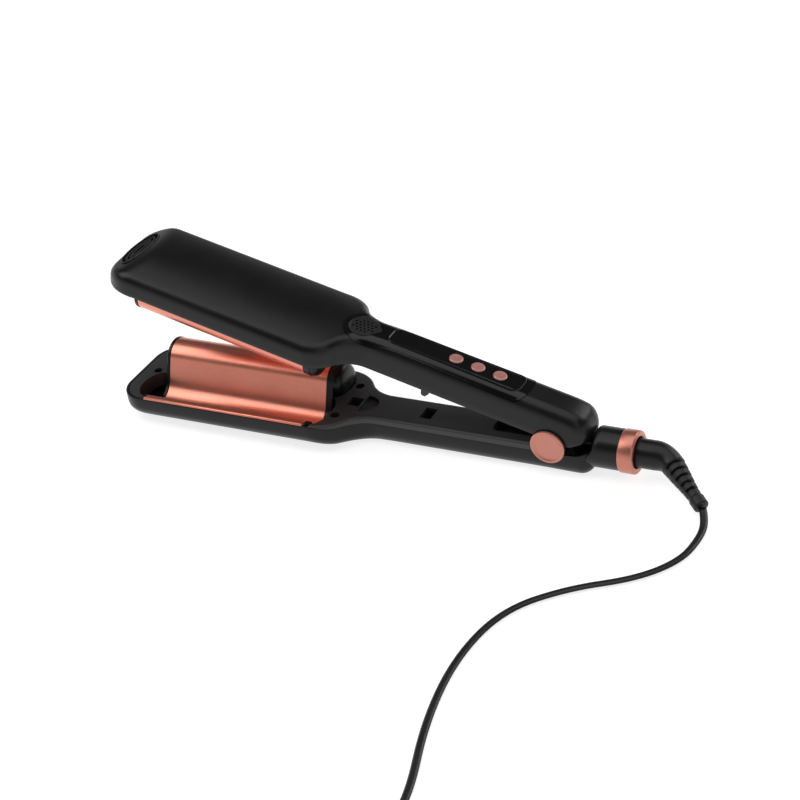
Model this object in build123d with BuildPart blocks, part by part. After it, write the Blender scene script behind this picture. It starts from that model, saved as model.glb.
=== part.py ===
"""Deep waver: two-armed hair crimper with S-shaped wave plates, a swivel lead and a two-pin plug.

The arms are drawn closed, in a frame with the hinge above x = 0 and the table at z = 0.
The tips point to -X, the lead leaves at +X.  ON_TABLE and OPENED then put each piece in its place.
"""
import os
from math import acos, atan2, cos, degrees, hypot, pi, radians, sin, sqrt, tan

from build123d import *

os.makedirs("parts", exist_ok=True)

# ---- driving dimensions, mm and degrees ----
HINGE_X = 90.25                      # hinge axis in the finished part, so that the body is centred
HINGE_Z = 18.9
OPEN_ANGLE = 15.3

HEAD_HALF = 31.0
HANDLE_HALF = 12.5
TIP_RADIUS = 18.0
LOWER_SHOULDER = (-142.5, -106.5)
UPPER_SHOULDER = (-144.0, -112.0)
LOWER_TIP = -273.9
LOWER_REAR = 24.0
UPPER_TIP = -275.3
UPPER_REAR = 19.8
WALL = 2.0
HULL_FLAT = 6.0                      # half width of the flat strip the lower arm rests on
HULL_RISE = 10.8

LOWER_RIM = 18.0                     # rim of the lower head
HANDLE_RIM = 14.5                    # parting line of the lower handle
UPPER_RIM = 22.5
COVER_REVEAL = 0.6                   # step from a shell's side to its cover's side
COVER_PLATE = 2.0
CROWN_TOP = 40.4
CROWN_RADIUS = 68.0

MID_Z = 20.25                        # plane halfway between the closed wave plates
BARREL_Y = 13.4
BARREL_RISE = 1.95                   # barrel axis above the mid plane
BARREL_RADIUS = 11.3
VALLEY_RADIUS = 12.0
PLATE_GAUGE = 1.2
PLATE_LIP = 28.2
PLATE_FRONT = -253.3
PLATE_REAR = -144.8
FRONT_CAP = 2.1
REAR_CAP = 4.3
CAP_STEP = 0.3
BARREL_NOSE = 7.4
RIDGE_NOSE = 4.5

RAIL_RADIUS = 1.1
RAIL_Y = 29.3

TIP_SCREW_X = -262.3
ROOT_SCREW = (-130.7, 15.6)
SCREWS = [(TIP_SCREW_X, 0.0), ROOT_SCREW, (ROOT_SCREW[0], -ROOT_SCREW[1])]
SCREW_HOLE = 2.75

HOOK_X = (-80.9, -75.6)
HOOK_HALF = 3.3
HOOK_TIP = 11.3
HOOK_HOLE = (-81.9, -74.8, 5.2)

PIN_RADIUS = 2.0
EAR_RADIUS = 9.6
LUG_RADIUS = 8.0
CAP_RADIUS = 10.0
RUN_CLEARANCE = 0.05

NECK_Z = 15.0
NECK_RADIUS = 11.8
NECK_END = 38.8
COLLAR_END = 46.8
STEM_RADIUS = 8.15

BUTTON_X = (-64.3, -51.0, -37.7)
BUTTON_RADIUS = 4.0
BUTTON_TOP = 42.2
PANEL_TOP = 41.0
VENT_X = -120.3

LEAD_DIAMETER = 3.4
LEAD_WIDTH = 4.2
LEAD_LENGTH = 1800.0
COIL_CENTRE = (60.0, -308.0)
COIL_MEAN = 23.5
COIL_HALF = 8.6
COIL_HEIGHT = 8.4

ON_TABLE = Location((HINGE_X, 0, 0))
SWING = Location((0, 0, 0), (0, OPEN_ANGLE, 0))
OPENED = Location((HINGE_X, 0, HINGE_Z)) * SWING * Location((0, 0, -HINGE_Z))


def save(builder, name, place=ON_TABLE):
    """Label a finished piece, put it in its place and write it."""
    piece = builder.part.moved(place)
    piece.label = name
    export_step(piece, f"parts/{name}.step")


def arm_plan(tip, rear, shoulder, inset=0.0, rear_radius=8.0):
    """Face of an arm seen from above: wide head, S-curved shoulders, narrow handle."""
    start, end = shoulder
    head = HEAD_HALF - inset
    handle = HANDLE_HALF - inset
    corner = TIP_RADIUS - inset
    rear_corner = rear_radius - inset
    run = end - start
    rise = HEAD_HALF - HANDLE_HALF
    bend = (run**2 + rise**2) / (4 * rise)
    share = (bend - inset) / (2 * bend)
    middle = (start + run * share, HEAD_HALF - bend + (2 * bend - rise) * share)
    tip = tip + inset
    rear = rear - inset
    with BuildLine() as plan:
        Line((tip, 0), (tip, head - corner))
        TangentArc((tip, head - corner), (tip + corner, head), tangent=(0, 1))
        Line((tip + corner, head), (start, head))
        TangentArc((start, head), middle, tangent=(1, 0))
        TangentArc((end, handle), middle, tangent=(-1, 0))
        Line((end, handle), (rear - rear_corner, handle))
        TangentArc((rear - rear_corner, handle), (rear, handle - rear_corner), tangent=(1, 0))
        Line((rear, handle - rear_corner), (rear, 0))
        mirror(about=Plane.XZ)
    make_face(plan.edges())


def block(x, y, z, mode=Mode.ADD):
    """Box between two corners, each given as a (low, high) pair."""
    with Locations(((x[0] + x[1]) / 2, (y[0] + y[1]) / 2, (z[0] + z[1]) / 2)):
        Box(x[1] - x[0], y[1] - y[0], z[1] - z[0], mode=mode)


def wave_line(barrel, valley, lip_z):
    """S-curve of a wave plate across the head, for one barrel radius and one valley radius."""
    barrel_z = MID_Z + BARREL_RISE
    valley_z = MID_Z - BARREL_RISE
    lean = acos((barrel + valley) / hypot(2 * BARREL_Y, 2 * BARREL_RISE)) - atan2(BARREL_RISE, BARREL_Y)
    valley_start = (-BARREL_Y - sqrt(valley**2 - (valley_z - lip_z) ** 2), lip_z)
    valley_end = (-BARREL_Y + valley * cos(lean), valley_z - valley * sin(lean))
    barrel_start = (BARREL_Y - barrel * cos(lean), barrel_z + barrel * sin(lean))
    Line((-PLATE_LIP, lip_z), valley_start)
    ThreePointArc(valley_start, (-BARREL_Y, valley_z - valley), valley_end)
    Line(valley_end, barrel_start)
    ThreePointArc(barrel_start, (BARREL_Y, barrel_z + barrel), (BARREL_Y + barrel, barrel_z))
    Line((BARREL_Y + barrel, barrel_z), (BARREL_Y + barrel, lip_z))
    Line((BARREL_Y + barrel, lip_z), (PLATE_LIP, lip_z))


def wave_plate():
    """Sheet of one wave plate in the lower arm's place."""
    lip = MID_Z - BARREL_RISE
    with BuildPart() as sheet:
        with BuildSketch(Plane.YZ.offset(PLATE_FRONT)):
            with BuildLine():
                wave_line(BARREL_RADIUS, VALLEY_RADIUS, lip)
                wave_line(BARREL_RADIUS - PLATE_GAUGE, VALLEY_RADIUS + PLATE_GAUGE, lip - PLATE_GAUGE)
                Line((-PLATE_LIP, lip), (-PLATE_LIP, lip - PLATE_GAUGE))
                Line((PLATE_LIP, lip), (PLATE_LIP, lip - PLATE_GAUGE))
            make_face()
        extrude(amount=PLATE_REAR - PLATE_FRONT)
    return sheet.part


def plate_cap(front, thickness, nose):
    """End cap of a wave plate: a wall under the S-curve, and a round nose behind the barrel."""
    lip = MID_Z - BARREL_RISE
    floor = MID_Z - BARREL_RISE - VALLEY_RADIUS - PLATE_GAUGE - 0.6
    with BuildPart() as cap:
        with BuildSketch(Plane.YZ.offset(front)):
            with BuildLine():
                wave_line(BARREL_RADIUS + CAP_STEP, VALLEY_RADIUS - CAP_STEP, lip)
                Line((-PLATE_LIP, lip), (-PLATE_LIP, floor + 8))
                Line((-PLATE_LIP, floor + 8), (-PLATE_LIP + 12, floor))
                Line((-PLATE_LIP + 12, floor), (PLATE_LIP - 12, floor))
                Line((PLATE_LIP - 12, floor), (PLATE_LIP, floor + 8))
                Line((PLATE_LIP, floor + 8), (PLATE_LIP, lip))
            make_face()
        extrude(amount=thickness)
        if nose:
            axis = Plane((front + thickness, BARREL_Y, MID_Z + BARREL_RISE), x_dir=(1, 0, 0), z_dir=(0, -1, 0))
            with BuildSketch(axis):
                Ellipse(nose, BARREL_RADIUS - 0.4)
                with Locations((0, -BARREL_RADIUS)):
                    Rectangle(4 * BARREL_RADIUS, 2 * BARREL_RADIUS, mode=Mode.SUBTRACT)
                with Locations((-BARREL_RADIUS, 0)):
                    Rectangle(2 * BARREL_RADIUS, 4 * BARREL_RADIUS, mode=Mode.SUBTRACT)
            revolve(axis=Axis(axis.origin, (1, 0, 0)))
    return cap.part


def upturned(piece):
    """Turn a lower wave piece over into the upper arm's place."""
    return Location((0, 0, 2 * MID_Z)) * Location((0, 0, 0), (180, 0, 0)) * piece


# ---- lower arm ----
with BuildPart() as lower_tip_cover:
    with BuildSketch(Plane.XY.offset(LOWER_RIM - COVER_PLATE)):
        arm_plan(LOWER_TIP, LOWER_REAR, LOWER_SHOULDER, COVER_REVEAL)
        with Locations((PLATE_FRONT - FRONT_CAP + 200, 0)):
            Rectangle(400, 80, mode=Mode.SUBTRACT)
        with Locations((PLATE_FRONT - FRONT_CAP, -BARREL_Y)):
            Ellipse(8.2, 13.2, mode=Mode.SUBTRACT)
        with Locations((TIP_SCREW_X, 0)):
            Circle(2.3, mode=Mode.SUBTRACT)
    extrude(amount=COVER_PLATE)
save(lower_tip_cover, "lower_tip_cover")

COVER_FRONT = PLATE_REAR + REAR_CAP
COVER_END = -11.0
with BuildPart() as lower_handle_cover:
    with BuildSketch(Plane.XY.offset(HANDLE_RIM)):
        arm_plan(LOWER_TIP, LOWER_REAR, LOWER_SHOULDER, COVER_REVEAL)
    extrude(amount=LOWER_RIM - HANDLE_RIM)
    fillet(lower_handle_cover.faces().sort_by(Axis.Z)[-1].edges(), 2.4)
    with BuildSketch(Plane.XY.offset(HANDLE_RIM)):
        arm_plan(LOWER_TIP, LOWER_REAR, LOWER_SHOULDER, COVER_REVEAL + WALL)
    extrude(amount=LOWER_RIM - HANDLE_RIM - COVER_PLATE, mode=Mode.SUBTRACT)
    block((LOWER_TIP - 1, COVER_FRONT), (-40, 40), (0, 40), Mode.SUBTRACT)
    block((COVER_END, LOWER_REAR + 1), (-40, 40), (0, 40), Mode.SUBTRACT)
    with BuildSketch(Plane.XY.offset(HANDLE_RIM)):
        with Locations((COVER_FRONT, -BARREL_Y)):
            Ellipse(5.8, 14.2)
        with Locations((COVER_FRONT, BARREL_Y)):
            Ellipse(BARREL_NOSE + 0.3, BARREL_RADIUS + 0.6)
    extrude(amount=10, mode=Mode.SUBTRACT)
    with BuildSketch(Plane.XY.offset(HANDLE_RIM)):
        with Locations((ROOT_SCREW[0], ROOT_SCREW[1]), (ROOT_SCREW[0], -ROOT_SCREW[1])):
            Circle(SCREW_HOLE)
        with Locations(((HOOK_HOLE[0] + HOOK_HOLE[1]) / 2, 0)):
            Rectangle(HOOK_HOLE[1] - HOOK_HOLE[0], 2 * HOOK_HOLE[2])
        with Locations((-22, 0)):
            SlotOverall(30, 11)
    extrude(amount=10, mode=Mode.SUBTRACT)
    block((-129.3, -120.2), (-4.2, 4.2), (LOWER_RIM - 1.6, 40), Mode.SUBTRACT)
    with BuildSketch(Plane.XY.offset(LOWER_RIM - 1.2)):
        with Locations((-120.2, 0)):
            Circle(8.2)
        with Locations((-120.2 - 5, 0)):
            Rectangle(10, 20, mode=Mode.SUBTRACT)
    extrude(amount=3, mode=Mode.SUBTRACT)
save(lower_handle_cover, "lower_handle_cover")


def lower_solid(inset):
    """Outer shape of the lower arm, shrunk by inset: rolled plan, hull-shaped underside and raised tip."""
    with BuildPart() as solid:
        with BuildSketch(Plane.XY.offset(inset)):
            arm_plan(LOWER_TIP, LOWER_REAR, LOWER_SHOULDER, inset)
        extrude(amount=40)
        fillet(solid.faces().sort_by(Axis.Z)[0].edges(), 7.5 - inset)
        with BuildSketch(Plane.YZ.offset(LOWER_TIP - 5)):
            with BuildLine():
                Line((-HULL_FLAT, inset), (HULL_FLAT, inset))
                TangentArc((HULL_FLAT, inset), (HEAD_HALF, HULL_RISE + inset), tangent=(1, 0))
                Polyline((HEAD_HALF, HULL_RISE + inset), (HEAD_HALF, 60), (-HEAD_HALF, 60),
                         (-HEAD_HALF, HULL_RISE + inset))
                TangentArc((-HULL_FLAT, inset), (-HEAD_HALF, HULL_RISE + inset), tangent=(-1, 0))
            make_face()
        extrude(amount=320, mode=Mode.INTERSECT)
        with BuildSketch(Plane.XZ):
            with BuildLine():
                Polyline((LOWER_TIP, 60), (LOWER_TIP, 10.9 + inset), (-258.0, 3.1 + inset), (-244.0, inset),
                         (60, inset), (60, 60), (LOWER_TIP, 60))
            make_face()
        extrude(amount=60, both=True, mode=Mode.INTERSECT)
    return solid


lower_outer = lower_solid(0)
lower_cavity = lower_solid(WALL)

SLIDER_TRAVEL = 4.0
SLIDER_X = (-67.0, -53.0)
with BuildPart() as lower_shell:
    add(lower_outer.part)
    block((-300, 60), (-40, 40), (LOWER_RIM, 60), Mode.SUBTRACT)
    with BuildSketch(Plane.XZ):
        with BuildLine():
            Polyline((-142, LOWER_RIM), (-118, HANDLE_RIM), (40, HANDLE_RIM), (40, 60), (-142, 60),
                     close=True)
        make_face()
    extrude(amount=60, both=True, mode=Mode.SUBTRACT)
    add(lower_cavity.part, mode=Mode.SUBTRACT)
    block((SLIDER_X[0] - SLIDER_TRAVEL - 3, SLIDER_X[1] + 3), (-10.4, 10.4), (WALL, 4.2))
    block((SLIDER_X[0] - SLIDER_TRAVEL - 0.5, SLIDER_X[1] + 0.5), (-8.3, 8.3), (-1, 2.2), Mode.SUBTRACT)
    block((-69.0, -57.0), (-2.6, 2.6), (0, 6), Mode.SUBTRACT)
    with Locations((TIP_SCREW_X, 0, 9.1)):
        Cylinder(3.4, 8.0)
        Cylinder(1.4, 8.0, mode=Mode.SUBTRACT)
    for side in (-1, 1):
        with Locations((ROOT_SCREW[0], side * ROOT_SCREW[1], 8.0)):
            Cylinder(3.4, 10.2)
            Cylinder(1.4, 10.2, mode=Mode.SUBTRACT)
    with Locations(Location((0, 0, HINGE_Z), (90, 0, 0))):
        Cylinder(EAR_RADIUS + 0.5, 60, mode=Mode.SUBTRACT)
    with Locations((LOWER_REAR, 0, NECK_Z)):
        Cylinder(3.0, 10, rotation=(0, 90, 0), mode=Mode.SUBTRACT)
    add(lower_handle_cover.part, mode=Mode.SUBTRACT)
    add(lower_tip_cover.part, mode=Mode.SUBTRACT)
    for side in (-1, 1):
        with Locations(((PLATE_FRONT + PLATE_REAR) / 2, side * RAIL_Y, LOWER_RIM)):
            Cylinder(RAIL_RADIUS, PLATE_REAR - PLATE_FRONT + 8, rotation=(0, 90, 0), mode=Mode.SUBTRACT)
save(lower_shell, "lower_shell")

with BuildPart() as lower_wave_plate:
    add(wave_plate())
save(lower_wave_plate, "lower_wave_plate")

with BuildPart() as lower_front_cap:
    add(plate_cap(PLATE_FRONT - FRONT_CAP, FRONT_CAP, 0))
save(lower_front_cap, "lower_front_cap")

with BuildPart() as lower_rear_cap:
    add(plate_cap(PLATE_REAR, REAR_CAP, BARREL_NOSE))
save(lower_rear_cap, "lower_rear_cap")

with BuildPart() as side_rails:
    for side in (-1, 1):
        with Locations(((PLATE_FRONT + PLATE_REAR) / 2, side * RAIL_Y, LOWER_RIM)):
            Cylinder(RAIL_RADIUS, PLATE_REAR - PLATE_FRONT, rotation=(0, 90, 0))
save(side_rails, "side_rails")

with BuildPart() as rail_stops:
    for side in (-1, 1):
        with Locations((PLATE_FRONT - 1, side * RAIL_Y, LOWER_RIM), (PLATE_REAR + 1.6, side * RAIL_Y, LOWER_RIM)):
            Cylinder(RAIL_RADIUS, 2, rotation=(0, 90, 0))
save(rail_stops, "rail_stops")

HEATER = 11.0
with BuildPart() as lower_heater:
    block((PLATE_FRONT + 4, PLATE_REAR - 4), (BARREL_Y - HEATER / 2, BARREL_Y + HEATER / 2), (17.0, 28.0))
save(lower_heater, "lower_heater")

with BuildPart() as lower_leads:
    for side in (-1, 1):
        with Locations((-58, side * 9.6, 8.5)):
            Cylinder(0.8, 150, rotation=(0, 90, 0))
save(lower_leads, "lower_leads")

with BuildPart() as lower_screws:
    with Locations([(x, y, 14.2) for x, y in SCREWS]):
        Cylinder(2.2, 2.2)
        with Locations((0, 0, -5)):
            Cylinder(1.4, 8)
        with Locations((0, 0, 0.8)):
            Box(2.8, 0.7, 0.8, mode=Mode.SUBTRACT)
            Box(0.7, 2.8, 0.8, mode=Mode.SUBTRACT)
save(lower_screws, "lower_screws")

with BuildPart() as hinge_bracket:
    block((-9, 9), (-5, 5), (WALL, 4.5))
    for side in (-1, 1):
        block((-7, 7), (side * 6.8 - 2, side * 6.8 + 2), (4, HINGE_Z))
        with Locations(Location((0, side * 6.8, HINGE_Z), (90, 0, 0))):
            Cylinder(LUG_RADIUS, 4)
    with Locations(Location((0, 0, HINGE_Z), (90, 0, 0))):
        Cylinder(PIN_RADIUS, 60, mode=Mode.SUBTRACT)
save(hinge_bracket, "hinge_bracket")

CAP_FACE = HANDLE_HALF + 1.5
with BuildPart() as hinge_pin:
    with Locations(Location((0, 0, HINGE_Z), (90, 0, 0))):
        Cylinder(PIN_RADIUS, 2 * HANDLE_HALF + 1.0)
save(hinge_pin, "hinge_pin")

for side, name in ((-1, "hinge_cap_near"), (1, "hinge_cap_far")):
    with BuildPart() as hinge_cap:
        with Locations(Location((0, side * (HANDLE_HALF + 1.0), HINGE_Z), (90, 0, 0))):
            Cylinder(CAP_RADIUS, 1.0)
        fillet(hinge_cap.faces().sort_by(Axis.Y)[side].edges(), 0.4)
        with Locations(Location((0, side * (CAP_FACE + 41.2), HINGE_Z))):
            Sphere(42.0, mode=Mode.SUBTRACT)
    save(hinge_cap, name)

with BuildPart() as hinge_spring:
    with BuildLine() as spring_line:
        Helix(pitch=1.4, height=7.0, radius=4.4, center=(0, -3.5, HINGE_Z), direction=(0, 1, 0))
    with BuildSketch(Plane(spring_line.line @ 0, z_dir=spring_line.line % 0)):
        Circle(0.55)
    sweep(path=spring_line.line, is_frenet=True)
save(hinge_spring, "hinge_spring")

with BuildPart() as lock_slider:
    block(SLIDER_X, (-8, 8), (0.2, 1.9))
    fillet(lock_slider.edges().filter_by(Axis.Z), 2.5)
    block((-64.0, -58.0), (-2.3, 2.3), (1.9, 5))
    block((-73.8, -56.0), (-5.2, 5.2), (4.5, 6.0))
    for side in (-1, 1):
        block((-73.8, -68.0), (side * 4.5 - 0.6, side * 4.5 + 0.6), (6, 13.8))
save(lock_slider, "lock_slider")

# ---- neck, collar and swivel ----
with BuildPart() as neck:
    with Locations(((LOWER_REAR + NECK_END) / 2, 0, NECK_Z)):
        Cylinder(NECK_RADIUS, NECK_END - LOWER_REAR, rotation=(0, 90, 0))
    fillet(neck.faces().sort_by(Axis.X)[0].edges(), 1.2)
    with Locations(((LOWER_REAR + 1.8 + NECK_END) / 2, 0, NECK_Z)):
        Cylinder(9.8, NECK_END - LOWER_REAR - 1.8, rotation=(0, 90, 0), mode=Mode.SUBTRACT)
    with Locations((LOWER_REAR, 0, NECK_Z)):
        Cylinder(3.0, 10, rotation=(0, 90, 0), mode=Mode.SUBTRACT)
save(neck, "neck")

with BuildPart() as swivel_bush:
    with Locations(((29.0 + NECK_END) / 2, 0, NECK_Z)):
        Cylinder(9.8, NECK_END - 29.0, rotation=(0, 90, 0))
        Cylinder(STEM_RADIUS + RUN_CLEARANCE, 40, rotation=(0, 90, 0), mode=Mode.SUBTRACT)
save(swivel_bush, "swivel_bush")

with BuildPart() as collar_ring:
    with Locations(((NECK_END + COLLAR_END) / 2, 0, NECK_Z)):
        Cylinder(NECK_RADIUS - 0.1, COLLAR_END - NECK_END, rotation=(0, 90, 0))
        Cylinder(STEM_RADIUS + 0.45, 40, rotation=(0, 90, 0), mode=Mode.SUBTRACT)
    chamfer(collar_ring.faces().sort_by(Axis.X)[-1].outer_wire().edges(), 1.0)
save(collar_ring, "collar_ring")

BEND = Vector(63.3, 0, NECK_Z)
TIP_OF_RELIEF = Vector(90.5, -24.5, 4.8)
AIM = (TIP_OF_RELIEF - BEND).normalized()
BEND_RADIUS = 16.0
TURN = AIM.get_angle(Vector(1, 0, 0))
BEND_LEG = BEND_RADIUS * tan(radians(TURN / 2))
ELBOW_END = BEND + AIM * BEND_LEG
with BuildPart() as swivel_elbow:
    with BuildLine() as elbow_path:
        Line((28.6, 0, NECK_Z), BEND - Vector(BEND_LEG, 0, 0))
        TangentArc(BEND - Vector(BEND_LEG, 0, 0), ELBOW_END, tangent=(1, 0, 0))
    with BuildSketch(Plane((28.6, 0, NECK_Z), z_dir=(1, 0, 0))):
        Circle(STEM_RADIUS)
    sweep()
    with Locations((27.4, 0, NECK_Z)):
        Cylinder(9.3, 2.4, rotation=(0, 90, 0))
save(swivel_elbow, "swivel_elbow")

RELIEF_LENGTH = (TIP_OF_RELIEF - ELBOW_END).length
with BuildPart() as strain_relief:
    with BuildSketch(Plane(ELBOW_END, z_dir=AIM)):
        Circle(STEM_RADIUS - 0.3)
    with BuildSketch(Plane(TIP_OF_RELIEF, z_dir=AIM)):
        Circle(4.2)
    loft()
    for slot in range(5):
        for side in (-1, 1):
            along = 3.0 + slot * 5.0 + (0 if side > 0 else 2.5)
            with BuildSketch(Plane(ELBOW_END + AIM * along, x_dir=(0, 0, 1), z_dir=AIM)):
                with Locations((side * 6.4, 0)):
                    Rectangle(5.6, 20)
            extrude(amount=1.3, mode=Mode.SUBTRACT)
save(strain_relief, "strain_relief")

# ---- upper arm ----
with BuildPart() as upper_handle_cover:
    with BuildSketch(Plane.XY.offset(UPPER_RIM - COVER_PLATE)):
        arm_plan(UPPER_TIP, UPPER_REAR, UPPER_SHOULDER, COVER_REVEAL + 0.6)
    extrude(amount=COVER_PLATE)
    fillet(upper_handle_cover.faces().sort_by(Axis.Z)[0].edges(), 1.6)
    block((UPPER_TIP - 1, COVER_FRONT), (-40, 40), (0, 40), Mode.SUBTRACT)
    block((-11.5, UPPER_REAR + 1), (-40, 40), (0, 40), Mode.SUBTRACT)
    with BuildSketch(Plane.XY.offset(UPPER_RIM - COVER_PLATE)):
        with Locations((COVER_FRONT, BARREL_Y)):
            Ellipse(BARREL_NOSE + 1.4, 14.2)
        with Locations((COVER_FRONT, -BARREL_Y)):
            Ellipse(RIDGE_NOSE + 0.3, BARREL_RADIUS + 0.6)
        with Locations((ROOT_SCREW[0], ROOT_SCREW[1]), (ROOT_SCREW[0], -ROOT_SCREW[1])):
            Circle(SCREW_HOLE)
    extrude(amount=10, mode=Mode.SUBTRACT)
    block(HOOK_X, (-HOOK_HALF, HOOK_HALF), (HOOK_TIP, UPPER_RIM - COVER_PLATE))
    hook_toe = upper_handle_cover.edges().filter_by(Axis.Y).group_by(Axis.Z)[0].sort_by(Axis.X)[-1]
    chamfer(hook_toe, 3.4, 1.6)
save(upper_handle_cover, "upper_handle_cover", OPENED)

with BuildPart() as upper_tip_cover:
    with BuildSketch(Plane.XY.offset(UPPER_RIM - COVER_PLATE)):
        arm_plan(UPPER_TIP, UPPER_REAR, UPPER_SHOULDER, COVER_REVEAL + 0.6)
        with Locations((PLATE_FRONT - FRONT_CAP + 200, 0)):
            Rectangle(400, 80, mode=Mode.SUBTRACT)
        with Locations((PLATE_FRONT - FRONT_CAP, BARREL_Y)):
            Ellipse(8.2, 13.2, mode=Mode.SUBTRACT)
        with Locations((TIP_SCREW_X, 0)):
            Circle(2.3, mode=Mode.SUBTRACT)
    extrude(amount=COVER_PLATE)
save(upper_tip_cover, "upper_tip_cover", OPENED)


def upper_solid(inset):
    """Outer shape of the upper arm, shrunk by inset: plan, side view and crown together."""
    top = CROWN_TOP - inset
    with BuildPart() as solid:
        with BuildSketch(Plane.XY.offset(UPPER_RIM)):
            arm_plan(UPPER_TIP, UPPER_REAR, UPPER_SHOULDER, inset, rear_radius=7.0)
        extrude(amount=30)
        with BuildSketch(Plane.XZ):
            with BuildLine():
                Polyline((UPPER_TIP, UPPER_RIM), (UPPER_TIP, 29.6 - inset), (-259.5, 37.4 - inset), (-240, top))
                Line((-240, top), (4, top))
                TangentArc((4, top), (UPPER_REAR - inset, 28.4), tangent=(1, 0))
                Polyline((UPPER_REAR - inset, 28.4), (UPPER_REAR - inset, 27.1 + inset / 2),
                         (10.2, UPPER_RIM), (UPPER_TIP, UPPER_RIM))
            make_face()
        extrude(amount=60, both=True, mode=Mode.INTERSECT)
        with BuildSketch(Plane.YZ.offset(UPPER_TIP - 5)):
            with Locations((0, top - CROWN_RADIUS)):
                Circle(CROWN_RADIUS)
            with Locations((0, 10)):
                Rectangle(200, 25, mode=Mode.ADD)
        extrude(amount=320, mode=Mode.INTERSECT)
    return solid


with BuildPart() as control_panel:
    with BuildSketch(Plane.XY.offset(37.6)):
        with BuildLine():
            CenterArc((VENT_X, 0), 11.6, 60, 240)
            Line((VENT_X + 5.8, 11.6 * sin(radians(60))), (-100, 9.6))
            Line((-100, 9.6), (-27.5, 10.6))
            ThreePointArc((-27.5, 10.6), (-19.6, 0), (-27.5, -10.6))
            Line((-27.5, -10.6), (-100, -9.6))
            Line((-100, -9.6), (VENT_X + 5.8, -11.6 * sin(radians(60))))
        make_face()
    extrude(amount=PANEL_TOP - 37.6)
    fillet(control_panel.faces().sort_by(Axis.Z)[-1].edges(), 0.7)
    with Locations((VENT_X, 0, 39.2)):
        Cylinder(9.5, 10, align=(Align.CENTER, Align.CENTER, Align.MIN), mode=Mode.SUBTRACT)
        Cylinder(8.0, 20, mode=Mode.SUBTRACT)
    block((-101.0, -26.0), (-7.2, 7.2), (30, 39.0), Mode.SUBTRACT)
    with Locations(*[(x, 0, PANEL_TOP) for x in BUTTON_X]):
        Cylinder(BUTTON_RADIUS + 0.3, 20, mode=Mode.SUBTRACT)
save(control_panel, "control_panel", OPENED)

with BuildPart() as display_lens:
    with BuildSketch(Plane.XY.offset(PANEL_TOP)):
        with BuildLine():
            CenterArc((-96.5, 0), 7.6, 90, 180)
            Line((-96.5, 7.6), (-29.5, 8.3))
            ThreePointArc((-29.5, 8.3), (-22.8, 0), (-29.5, -8.3))
            Line((-29.5, -8.3), (-96.5, -7.6))
        make_face()
    extrude(amount=0.5)
    with Locations(*[(x, 0, PANEL_TOP) for x in BUTTON_X]):
        Cylinder(BUTTON_RADIUS + 0.3, 20, mode=Mode.SUBTRACT)
save(display_lens, "display_lens", OPENED)

with BuildPart() as vent_disc:
    with Locations((VENT_X, 0, 39.9)):
        Cylinder(9.4, 1.4)
    with BuildSketch(Plane.XY.offset(39.0)):
        with Locations((VENT_X, 0)):
            with HexLocations(1.35, 7, 5):
                Circle(0.75)
    extrude(amount=3, mode=Mode.SUBTRACT)
save(vent_disc, "vent_disc", OPENED)

for x, name in zip(BUTTON_X, ("button_plus", "button_minus", "button_power")):
    with BuildPart() as button:
        with Locations((x, 0, BUTTON_TOP - 1.9)):
            Cylinder(BUTTON_RADIUS, 3.8)
        fillet(button.faces().sort_by(Axis.Z)[-1].edges(), 0.6)
    save(button, name, OPENED)

FACET_MIDDLE = (-267.4, 0, 33.5)
FACET_TILT = degrees(atan2(7.8, 15.8))
FACET = Plane(FACET_MIDDLE, x_dir=(0, 1, 0), z_dir=(-sin(radians(FACET_TILT)), 0, cos(radians(FACET_TILT))))
with BuildPart() as tip_grille:
    with BuildSketch(FACET.offset(-1.6)):
        Ellipse(17.6, 5.0)
    extrude(amount=0.8)
    for ring in range(3):
        with BuildSketch(FACET.offset(-0.8)):
            Ellipse(17.4 - 4.2 * ring, 4.8 - 1.4 * ring)
            Ellipse(16.4 - 4.2 * ring, 4.2 - 1.4 * ring, mode=Mode.SUBTRACT)
        extrude(amount=0.7)
save(tip_grille, "tip_grille", OPENED)

upper_cavity = upper_solid(WALL)
upper_outer = upper_solid(0)
with BuildPart() as upper_shell:
    add(upper_outer.part)
    add(upper_cavity.part, mode=Mode.SUBTRACT)
    for side in (-1, 1):
        with Locations(Location((0, side * (HANDLE_HALF - WALL / 2), HINGE_Z), (90, 0, 0))):
            Cylinder(EAR_RADIUS, WALL)
        block((-EAR_RADIUS, EAR_RADIUS), (side * (HANDLE_HALF - WALL / 2) - 1, side * (HANDLE_HALF - WALL / 2) + 1),
              (HINGE_Z, UPPER_RIM + 1))
    with Locations(Location((0, 0, HINGE_Z), (90, 0, 0))):
        Cylinder(PIN_RADIUS + RUN_CLEARANCE, 60, mode=Mode.SUBTRACT)
    block((TIP_SCREW_X - 3, TIP_SCREW_X + 3), (-3, 3), (27.5, 34.4))
    for side in (-1, 1):
        with Locations((ROOT_SCREW[0], side * ROOT_SCREW[1], 32.4)):
            Cylinder(3.4, 9.8)
    with Locations([(x, y, 27.5) for x, y in SCREWS]):
        Cylinder(1.4, 9.2, mode=Mode.SUBTRACT)
    with BuildSketch(FACET.offset(-1.6)):
        Ellipse(18.0, 5.4)
    extrude(amount=10, mode=Mode.SUBTRACT)
    add(control_panel.part, mode=Mode.SUBTRACT)
    with Locations((VENT_X, 0, 39)):
        Cylinder(9.6, 10, mode=Mode.SUBTRACT)
    block((-101.0, -26.0), (-7.2, 7.2), (36, 50), Mode.SUBTRACT)
save(upper_shell, "upper_shell", OPENED)

with BuildPart() as upper_wave_plate:
    add(upturned(wave_plate()))
save(upper_wave_plate, "upper_wave_plate", OPENED)

with BuildPart() as upper_front_cap:
    add(upturned(plate_cap(PLATE_FRONT - FRONT_CAP, FRONT_CAP, 0)))
save(upper_front_cap, "upper_front_cap", OPENED)

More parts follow.
